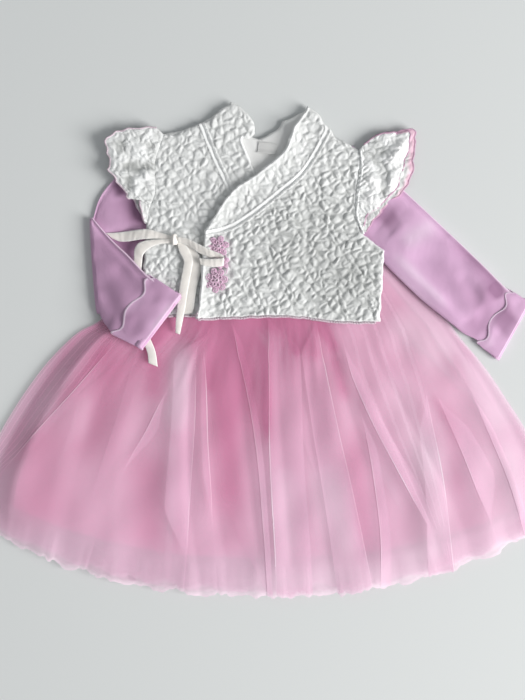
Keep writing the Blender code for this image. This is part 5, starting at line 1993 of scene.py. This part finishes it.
@dataclass
class Sleeves:
    """Both knit sleeves: the right one lies straight, the left one folds over at the elbow.

    A row of right, upper_arm and forearm is x, y and z of the sleeve's one edge, the same of its other
    edge, and half its thickness. A row of creases or shades holds Crease's values in their order.
    """

    right: Table = (
        (98.6, 194, 0.0, 107.6, 92, 0.0, 1.35), (129, 168, 0.0, 123, 76, 0.6, 1.7),
        (160, 140, 0.0, 140, 57, 4.9, 2.2), (197, 105, 0.0, 173, 25, 4.9, 3.0),
        (235, 69, 0.0, 204, 0, 4.9, 3.2), (258, 46, 1.0, 221, -13, 2.4, 2.8),
        (271, 34, 1.6, 235, -20, 1.6, 2.6), (289, 24, 1.6, 254, -37, 1.6, 2.5))
    upper_arm: Table = (
        (-102.5, 197, 0.0, -115.5, 103, 0.0, 1.35), (-135, 178, 0.0, -135, 77, 0.0, 1.8),
        (-160, 160, 0.0, -152, 51, 0.0, 2.1), (-178, 138, 0.0, -170, 27, 0.0, 2.2),
        (-186.0, 114.0, 0.0, -178.5, 9.0, 0.0, 2.2))
    forearm: Table = (
        (-186.0, 114.0, 4.8, -178.5, 9.0, 4.8, 2.2), (-166, 91, 6.8, -174, 0, 7.2, 2.1),
        (-146, 72, 11.0, -169, -6, 10.4, 2.1), (-124.5, 50, 16.9, -164.5, -11, 13.5, 2.0),
        (-106, 38.5, 18.0, -147, -20, 15.0, 2.0), (-91, 28.5, 19.0, -133.5, -26.5, 15.8, 2.0))
    fold_turns: Sequence[int] = (15, 35, 60, 90, 120, 145, 165)
    fold_gap: float = 0.2
    right_creases: Table = (
        (112, 150, 128, 98, 11, -2.2), (130, 112, 144, 98, 11, -2.0), (128, 140, 150, 120, 9, 1.6),
        (150, 122, 215, 78, 13, 3.0), (205, 92, 262, 38, 11, 2.4), (160, 78, 212, 34, 10, -2.0),
        (150, 64, 216, 0, 6, 1.5), (216, 52, 238, 20, 8, -2.2), (238, 40, 262, 2, 8, 1.8),
        (200, 30, 236, -8, 7, -0.8), (246, 16, 238, -12, 6, -1.5))
    upper_creases: Table = (
        (-178, 122, -148, 96, 9, 2.2), (-172, 60, -150, 88, 8, -1.6), (-160, 146, -138, 112, 9, -2.0),
        (-150, 150, -130, 130, 7, 1.4), (-182, 96, -160, 70, 7, 1.2))
    fore_creases: Table = (
        (-176, 66, -152, 18, 11, 1.8), (-172, 86, -138, 50, 7, 1.4), (-168, 30, -150, -2, 8, -1.6),
        (-158, 62, -134, 32, 9, -1.6), (-183, 34, -170, 5, 7, 1.2))
    # Painted shade where a row is above 0 and painted highlight where it is below 0.
    right_shades: Table = (
        (122.7, 107.8, 153.5, 127.6, 7.7, 0.45), (133.7, 105.6, 149.1, 114.4, 9.9, 0.5),
        (208.5, 92.4, 264.6, 35.2, 11, 0.75), (247, 44, 245.9, -11, 16.5, 0.5),
        (252.5, 41.8, 261.2, 26.4, 7.7, 0.7), (184.3, 66, 237.1, 13.2, 17.6, 0.33),
        (198.6, 105.6, 206.3, 92.4, 4.4, 0.35), (223.9, 2.2, 237.1, -15.4, 11, 0.4),
        (153.5, 85.8, 188.7, 107.8, 9.9, -0.5), (144.7, 72.6, 201.9, 17.6, 6.1, -0.5),
        (142.5, 50.6, 184.3, 11, 7.7, -0.3))
    upper_shades: Table = (
        (-161.2, 154, -154.6, 138.6, 7.7, 0.8), (-137, 136.4, -128.2, 103.4, 11, 0.8),
        (-151.2, 139.7, -140.2, 106.7, 17.6, 0.5), (-181, 139.7, -174.4, 101.2, 15.4, 0.3),
        (-165.6, 94.6, -141.4, 77, 9.9, 0.9))
    fore_shades: Table = (
        (-165.6, 145.2, -165.6, -74.8, 66, 0.5), (-187.6, 110, -181, 90.2, 6.6, -0.3),
        (-176.6, 79.2, -176.6, -25.3, 7.7, -0.12))
    right_cuff: Row = (0.80, 0.90)
    left_cuff: Row = (0.62, 0.76)
    dome: float = 2.6
    roll: float = 0.9
    edge_highlight_width: float = 1.6

    cuffs: Sequence[Cuff] = (
        Cuff("cuff_right", ((269, 37, 0.0, 234, -23, 0.0), (280, 30, 0.0, 244, -31, 0.0),
                            (292, 22, 0.0, 257.5, -40.5, 0.0)), 4.0, ("sleeve_right_cloth",),
             shades=((250.3, 6.6, 274.5, 17.6, 12.1, 0.5), (259.1, -11, 276.7, 6.6, 13.2, 0.6),
                     (243.7, -14.3, 250.3, -27.5, 6.6, -0.2))),
        Cuff("cuff_left", ((-124, 52, 15.4, -166, -12.5, 12.0), (-106, 40.5, 16.5, -148.5, -21.5, 13.5),
                           (-89, 29, 17.7, -133, -29, 14.3)), 3.5, ("sleeve_left_cloth",),
             shades=((-148, 11, -134.8, -19.8, 17.6, 0.6), (-126, 40.7, -101.8, 26.4, 13.2, 0.45),
                     (-132.6, 22, -112.8, 4.4, 15.4, 0.3), (-121.6, -11, -97.4, 18.7, 6.6, -0.4))))

    def dress(self, ring: Array, creases: Table, upward: float, dome: float = 0.0,
              fade: float = 1.0) -> Array:
        """Press the creases into one side of a ring.

        Args:
            ring: Points of the ring, upper side first.
            creases: The ridges and troughs.
            upward: 1 where the ring's first half is its visible side, -1 where its second half is.
            dome: How far the middle rises.
            fade: 1 where the sleeve lies free, falling to 0 inside the cuff.

        Returns:
            The ring with its creases.
        """
        half = len(ring) // 2
        part = slice(0, half) if upward > 0 else slice(half, len(ring))
        side = ring[part]
        share = np.sin(np.linspace(0, math.pi, len(side)))
        lift = creases_lift(side[:, 0], side[:, 1], creases)
        lift += 0.5 * ripples(side[:, 0], side[:, 1], 30.0, 12)
        away = np.hypot(side[:, 0] - ring[0, 0], side[:, 1] - ring[0, 1])
        rolled = self.roll * (np.exp(-((away - 1.4) / 1.3) ** 2) - np.exp(-((away - 6.0) / 3.5) ** 2))
        ring = ring.copy()
        ring[part, 2] += fade * (share ** 0.6 * lift + dome * share + rolled)
        return ring

    def tones(self, rings: Sequence[Array], shades: Table,
              upward: float) -> tuple[Array, Array]:
        """Give the painted shade and painted highlights of a run of rings.

        Args:
            rings: The rings.
            shades: Painted shade above 0 and painted highlight below.
            upward: 1 where each ring's first half is its visible side, -1 where its second half is.

        Returns:
            Painted shade and painted highlight values, ring by ring.
        """
        stack = np.array(rings)
        half = stack.shape[1] // 2
        seen = np.zeros(stack.shape[:2])
        seen[:, slice(0, half) if upward > 0 else slice(half, None)] = 1.0
        shade = creases_lift(stack[..., 0], stack[..., 1], shades) * seen
        away = np.hypot(stack[..., 0] - stack[:, :1, 0], stack[..., 1] - stack[:, :1, 1])
        # A painted highlight also runs along each ring's first edge.
        rim_and_painted_highlight = np.maximum(np.clip(-shade, 0, 1), 0.9 * np.exp(-(away / self.edge_highlight_width) ** 2))
        return np.clip(shade, 0, 1), rim_and_painted_highlight

    def build_right(self) -> None:
        """Build the right sleeve."""
        tube = FlatTube("sleeve_right_cloth", ["sleeve_right"], (205, 235), ["skirt_net_top_cloth"])
        rings = []
        for row, share in zip(smooth_line(self.right, 120), np.linspace(0, 1, 120)):
            fade = float(1 - soft_step(share, *self.right_cuff))
            rings.append(self.dress(tube.level_ring(row), self.right_creases, 1, self.dome, fade))
        tube.build(rings, *self.tones(rings, self.right_shades, 1))

    def build_left(self) -> None:
        """Build the left sleeve: upper arm, the fold at the elbow, and the forearm over it."""
        tube = FlatTube("sleeve_left_cloth", ["sleeve_left"], (210, 200), ["vest_front_left_cloth"],
                        held=Held.FOLDED)
        turned, fore = [], []
        upper = [self.dress(tube.level_ring(row), self.upper_creases, 1, 0.0, 0.6)
                 for row in smooth_line(self.upper_arm, 60)]
        ax, ay, _, bx, by, _, half = self.upper_arm[-1]
        middle = 2 * half + self.fold_gap
        for degrees in self.fold_turns:
            turn = math.radians(degrees)
            normal = np.array((math.sin(turn), 0.0, math.cos(turn)))
            away = -(half + self.fold_gap) * normal
            upper_edge, lower_edge = np.array((ax, ay, middle)), np.array((bx, by, middle))
            turned.append(tube.ring(upper_edge + away, lower_edge + away, half, normal))
        for row, share in zip(smooth_line(self.forearm, 80), np.linspace(0, 1, 80)):
            fade = float(1 - soft_step(share, *self.left_cuff))
            fore.append(self.dress(tube.level_ring(row, -1.0), self.fore_creases, -1, 0.4, fade))
        tones = [self.tones(upper, self.upper_shades, 1), self.tones(turned, self.fore_shades, -1),
                 self.tones(fore, self.fore_shades, -1)]
        painted_shade, rim_and_painted_highlight = (np.vstack([tone[k] for tone in tones]) for k in (0, 1))
        tube.build([*upper, *turned, *fore], painted_shade, rim_and_painted_highlight)

    def build(self) -> None:
        """Build both sleeves and their cuffs."""
        self.build_right()
        self.build_left()
        for cuff in self.cuffs:
            cuff.build()
            LOG.info("built %s", cuff.node)


# Ribbon tie


@dataclass
class Ribbon:
    """One strand of the satin tie: rows of its two edges."""

    name: str
    node: str
    rows: Table
    rests_on: Sequence[str]
    bow: float = 0.5
    across: int = 11

    def build(self) -> bpy.types.Object:
        """Build the strand as a thin strip with lighter woven edges.

        Returns:
            The piece.
        """
        rows = smooth_line(self.rows, 12 * len(self.rows))
        share = np.linspace(0, 1, self.across)[None, :, None]
        first, second = rows[:, None, :3], rows[:, None, 3:]
        points = first + (second - first) * share
        curve = np.sin(math.pi * share[..., 0])
        points[..., 2] += 0.5 + self.bow * curve
        lengthwise = np.arange(len(rows))[:, None] * np.ones((1, self.across))
        points[..., 2] += 0.18 * ripples(lengthwise * 2.0, share[..., 0] * 6.0, 14.0, 77)
        faces = facing_up(grid_faces(len(rows), self.across), points)
        middle = (rows[:, :3] + rows[:, 3:]) / 2
        length = line_length(middle)
        width = float(np.mean(np.linalg.norm(rows[:, :3] - rows[:, 3:], axis=1)))
        run = np.linspace(0, length, len(rows))
        places = np.stack(np.meshgrid(np.linspace(0, width, self.across), run), axis=-1).reshape(-1, 2)
        rim_and_painted_highlight = np.broadcast_to(np.exp(-(np.minimum(share[..., 0], 1 - share[..., 0]) / 0.12) ** 2),
                              (len(rows), self.across))
        piece = make_piece(self.name, points.reshape(-1, 3), faces, SATIN, [self.node], places,
                           {"rim_and_painted_highlight": rim_and_painted_highlight.ravel()}, wall=0.45)
        declare((max(width, 10.0), length), width * length, Held.FOLDED, self.rests_on)
        return piece


@dataclass
class Tie:
    """The vest's ribbon tie: a bow of one loop with its knot, hanging tails and side ends.

    A row is x, y and z of the ribbon's one edge and the same of its other edge.
    """

    end_left: Table = (
        (-99, 93.5, 12.2, -99, 88, 12.2), (-113, 98, 11.8, -113, 90.5, 12.0),
        (-124, 101, 11.6, -124, 90.5, 11.9), (-133, 101, 10.4, -135, 89.5, 10.6),
        (-146, 99.5, 7.8, -146, 88, 8.0), (-159, 98, 5.8, -156, 88, 6.0), (-172, 97.5, 4.9, -164, 91, 5.1))
    side: Table = (
        (-99, 90, 13.5, -99, 85.5, 13.5), (-117, 89.5, 13.4, -112, 84.5, 13.4),
        (-133, 87, 12.3, -123, 80, 12.8), (-139.5, 80, 10.6, -130, 73, 11.6),
        (-140.5, 69, 9.6, -131.5, 65, 10.4), (-141.5, 54, 9.0, -132.5, 52, 9.4),
        (-142, 30, 8.9, -132.5, 30, 9.6), (-140, 8, 10.2, -131, 7, 10.8), (-134, -14, 12.2, -125, -12, 12.4),
        (-126, -32, 13.5, -117, -31, 13.5), (-124, -45, 14.6, -114, -49, 14.6))
    loop: Table = (
        (-93, 92.5, 16.6, -93, 86.5, 14.8), (-82, 90.5, 18.4, -82, 83, 15.6),
        (-70, 84.5, 20.5, -70, 75, 16.8), (-58, 78.5, 21.6, -58, 70, 18.2),
        (-48, 74.5, 22.2, -49, 69.5, 18.8), (-42.5, 71.5, 22.4, -44, 66, 18.8),
        (-43.0, 68.8, 22.3, -42.5, 61.0, 18.7), (-52, 68, 21.2, -50, 59.5, 18.6),
        (-62, 68, 19.4, -60, 60, 17.8), (-69, 69, 18.0, -67, 62, 17.0))
    tail_front: Table = (
        (-93, 85, 13.3, -93, 91.5, 13.3), (-91, 77, 14.0, -82, 82, 14.0), (-86, 66, 14.4, -76, 68, 14.4),
        (-87, 57, 15.0, -77, 57, 15.0), (-91, 33, 16.1, -81, 35, 16.1), (-93, 13, 17.2, -84, 15, 17.2),
        (-94, 3, 17.0, -86, 4, 17.0), (-95, -12, 12.6, -90, -14, 12.6))
    tail_back: Table = (
        (-93, 84.5, 12.0, -93, 91, 12.0), (-88, 76, 12.7, -78, 84, 12.5), (-83, 66, 13.1, -67.5, 70, 13.0),
        (-82, 57, 13.8, -66.5, 58, 13.6), (-84, 33, 15.0, -72, 33, 14.8), (-87, 8.5, 16.0, -75.5, 9.5, 16.0))
    knot_centre: Row = (-96.0, 89.3, 15.1)
    knot_size: Row = (3.4, 6.4, 3.4)

    def build_knot(self) -> None:
        """Build the knot: a rounded wrap of ribbon with folds across it."""
        rows, count = 40, 48
        down, turn = np.meshgrid(np.linspace(0.4, math.pi - 0.4, rows),
                                 np.linspace(0, 2 * math.pi, count, endpoint=False), indexing="ij")
        folds = 1 + 0.10 * np.cos(3 * turn + 0.8 * np.cos(down)) + 0.05 * np.cos(7 * turn)
        ring = np.sin(down) ** 0.6 * folds
        x = self.knot_centre[0] + self.knot_size[0] * ring * np.cos(turn)
        y = self.knot_centre[1] + self.knot_size[1] * np.cos(down)
        z = self.knot_centre[2] + self.knot_size[2] * ring * np.sin(turn)
        points = np.stack([x, y, z], axis=-1).reshape(-1, 3)
        faces = grid_faces(rows, count, around=True)
        # Painted highlight on the crests of the folds.
        rim_and_painted_highlight = 0.5 + 0.5 * np.cos(3 * turn)
        piece = make_piece("ribbon_knot_wrap", points, faces, SATIN, ["ribbon_knot"],
                           values={"rim_and_painted_highlight": 0.15 * rim_and_painted_highlight.ravel()})
        declare((12, 21), 252, Held.FOLDED, ["collar_right_cloth"])

    def build(self) -> None:
        """Build every strand and the knot."""
        strands = (
            Ribbon("ribbon_end_left_satin", "ribbon_end_left", self.end_left, ["sleeve_left_cloth"]),
            Ribbon("ribbon_tail_side_satin", "ribbon_tail_side", self.side, ["vest_front_left_cloth"]),
            Ribbon("ribbon_tail_back_satin", "ribbon_tail_back", self.tail_back, ["vest_front_left_cloth"]),
            Ribbon("ribbon_tail_front_satin", "ribbon_tail_front", self.tail_front,
                   ["vest_front_left_cloth"]),
            Ribbon("ribbon_loop_satin", "ribbon_loop", self.loop, ["vest_front_right_cloth"], bow=0.8))
        for strand in strands:
            strand.build()
            LOG.info("built %s", strand.name)
        self.build_knot()


# Lace flowers


@dataclass
class LaceFlower:
    """A thick crochet flower: petals of looped thread round a knotted middle."""

    name: str
    node: str
    x: float
    y: float
    half_x: float
    half_y: float
    base: float
    petals: int = 6
    turn: float = 0.3

    def loop(self, angle: float, reach: float, size: float, height: float, radius: float) -> tuple:
        """Give one petal as a closed loop of thread.

        Args:
            angle: Direction of the petal.
            reach: Distance of its middle from the flower's middle, from 0 to 1.
            size: Half its length, from 0 to 1.
            height: Height above the flower's base.
            radius: Radius of the thread.

        Returns:
            Points and faces.
        """
        turn = np.linspace(0, 2 * math.pi, 22, endpoint=False)
        out = reach + size * np.cos(turn)
        side = size * 0.72 * np.sin(turn) * (1 + 0.25 * np.cos(turn))
        px = self.x + self.half_x * (out * math.cos(angle) - side * math.sin(angle))
        py = self.y + self.half_y * (out * math.sin(angle) + side * math.cos(angle))
        pz = self.base + height + 0.5 * np.cos(turn) * 0.5 + 0.12 * np.sin(5 * turn)
        thick = radius * (1 + 0.18 * np.sin(6 * turn))
        return cord_mesh(np.stack([px, py, pz], axis=1), thick, 7, closed=True)

    def build(self) -> bpy.types.Object:
        """Build the flower.

        Returns:
            The piece.
        """
        parts = []
        for k in range(self.petals):
            angle = self.turn + 2 * math.pi * k / self.petals
            parts.append(self.loop(angle, 0.66, 0.30, 0.9, 0.95))
            parts.append(self.loop(angle, 0.66, 0.13, 1.5, 0.75))
            parts.append(self.loop(angle + math.pi / self.petals, 0.36, 0.17, 2.0, 0.8))
        parts.append(self.loop(self.turn, 0.0, 0.16, 2.7, 0.95))
        points, faces = joined(parts)
        height = (points[:, 2] - self.base) / 3.4
        # Painted shade low down among the loops and painted highlight on their tops.
        painted_shade, rim_and_painted_highlight = np.clip(0.8 - 1.9 * height, 0, 1), np.clip(height - 0.6, 0, 1)
        return make_piece(self.name, points, faces, LACE, [self.node], values={"painted_shade": painted_shade, "rim_and_painted_highlight": rim_and_painted_highlight})


@dataclass
class LaceTrim:
    """The column of lace flowers on the right front, with the chain that links them.

    A row of flowers is a label, x, y, half width, half length, number of petals and turn.
    """

    form: VestForm = field(default_factory=VestForm)
    flowers: Sequence[tuple] = (
        ("upper", -48, 82, 11.5, 11.5, 6, 0.2), ("middle", -44, 64.5, 8.0, 7.4, 5, 0.5),
        ("lower", -50, 45, 12.0, 13.5, 7, 0.1))
    chain: Table = ((-40.5, 74), (-38.5, 66), (-38.0, 58), (-39.5, 52))

    def height(self, y: float) -> float:
        """Return the height on which a flower lies."""
        return self.form.rest(0.0, y) + self.form.front_lift + self.form.overlap_lift + 3.9

    def build(self) -> None:
        """Build the flowers and the chain."""
        for label, x, y, half_x, half_y, petals, turn in self.flowers:
            flower = LaceFlower(f"lace_flower_{label}_crochet", f"lace_flower_{label}", x, y, half_x, half_y,
                                float(self.height(y)), petals, turn)
            flower.build()
            LOG.info("built %s", flower.name)
        line = smooth_line(self.chain, 60)
        path = np.column_stack([line, [self.height(y) + 0.6 for y in line[:, 1]]])
        points, faces = cord_mesh(path, 0.75 + 0.3 * np.sin(np.arange(60) * 1.3), sides=7)
        make_piece("lace_chain", points, faces, LACE, values={"rim_and_painted_highlight": np.full(len(points), 0.6)})


# Bodice


@dataclass
class Bodice:
    """The dress's bodice, front and back, which lies under the vest."""

    outline: Table = (
        (-101, 198), (-53, 209), (-40, 189), (-1, 176), (41, 187), (54, 207), (96, 194), (105, 92),
        (117, 66.4), (-109, 66.4), (-113.5, 103))

    def build(self) -> None:
        """Build both pieces."""
        for name, node, low, rests_on in (("bodice_back_cloth", "bodice_back", 0.0, []),
                                          ("bodice_front_cloth", "bodice_front", 1.5, ["bodice_back_cloth"])):
            panel = Panel(name, [node], self.outline, lambda x, y, z=low: np.full(x.shape, z), KNIT,
                          (231, 143), rests_on, base=1.1, step=4.0)
            panel.build()
            LOG.info("built %s", name)


# Studio


@dataclass
class Studio:
    """A plain pale floor, soft light from the right and below, and the camera straight above.

    A row of lights is a name, a place, a side and a power, in metres and watts, and a colour.
    """

    photo_height: float = 770.0
    middle_y: float = -30.8
    distance: float = 1400.0
    sensor: float = 36.0
    floor_colour: Colour = (0.70, 0.72, 0.72)
    floor_side: float = 3.0
    floor_drop: float = 0.3
    room_colour: Colour = (0.95, 0.98, 1.0)
    room_strength: float = 0.31
    lights: Sequence[tuple] = (("window", (3.3, -1.2, 1.95), 2.2, 215.0, (1.0, 0.99, 0.975)),
                               ("room", (-0.9, 0.9, 1.9), 2.0, 2.5, (0.95, 0.98, 1.0)))

    def build_floor(self) -> None:
        """Build the floor, which isn't part of the garment."""
        mesh = bpy.data.meshes.new("floor")
        corners = [(x * self.floor_side, y * self.floor_side, -self.floor_drop * MM)
                   for x, y in ((-1, -1), (1, -1), (1, 1), (-1, 1))]
        mesh.from_pydata(corners, [], [(0, 1, 2, 3)])
        material = bpy.data.materials.new("pale_floor")
        material.use_nodes = True
        tree = ShaderTree(material.node_tree)
        noise = tree.add("ShaderNodeTexNoise", {"Scale": 2.5, "Detail": 2.0})
        paler = tuple(c * 1.03 for c in self.floor_colour)
        colour = tree.mix(noise.outputs[0], (*self.floor_colour, 1), (*paler, 1))
        shader = material.node_tree.nodes["Principled BSDF"]
        shader.inputs["Roughness"].default_value = 0.85
        shader.inputs["Specular IOR Level"].default_value = 0.1
        material.node_tree.links.new(colour, shader.inputs["Base Color"])
        mesh.materials.append(material)
        floor = bpy.data.objects.new("floor", mesh)
        bpy.context.scene.collection.objects.link(floor)

    def add_light(self, name: str, place: Row, size: float, power: float, colour: Colour) -> None:
        """Hang a square soft light that points at the garment.

        Args:
            name: The light's name.
            place: Where it hangs, in metres.
            size: Its side in metres.
            power: Its power in watts.
            colour: Its colour.
        """
        light = bpy.data.lights.new(name, "AREA")
        light.size = size
        light.energy = power
        light.color = colour
        lamp = bpy.data.objects.new(name, light)
        lamp.location = place
        lamp.rotation_euler = (-Vector(place)).to_track_quat("-Z", "Y").to_euler()
        bpy.context.scene.collection.objects.link(lamp)

    def build(self) -> None:
        """Build floor, lights, world and camera."""
        self.build_floor()
        for light in self.lights:
            self.add_light(*light)
        scene = bpy.context.scene
        world = bpy.data.worlds.new("room")
        scene.world = world
        world.use_nodes = True
        background = world.node_tree.nodes["Background"]
        background.inputs["Color"].default_value = (*self.room_colour, 1.0)
        background.inputs["Strength"].default_value = self.room_strength
        scene.view_settings.view_transform = "Standard"
        scene.cycles.transparent_max_bounces = 32
        camera = bpy.data.cameras.new("camera")
        camera.sensor_width = self.sensor
        camera.lens = self.sensor * self.distance / self.photo_height
        camera.clip_end = 20.0
        eye = bpy.data.objects.new("camera", camera)
        eye.location = (0.0, self.middle_y * MM, self.distance * MM)
        scene.collection.objects.link(eye)
        scene.camera = eye


def main() -> None:
    """Build the garment, piece by piece, and the studio round it."""
    logging.basicConfig(level=logging.INFO, format="%(message)s")
    for label, part in (("bodice", Bodice()), ("skirt", Skirt()), ("vest", Vest()), ("tie", Tie()),
                        ("lace trim", LaceTrim()), ("studio", Studio()), ("sleeves", Sleeves())):
        part.build()
        LOG.info("finished %s", label)


if __name__ == "__main__":
    main()
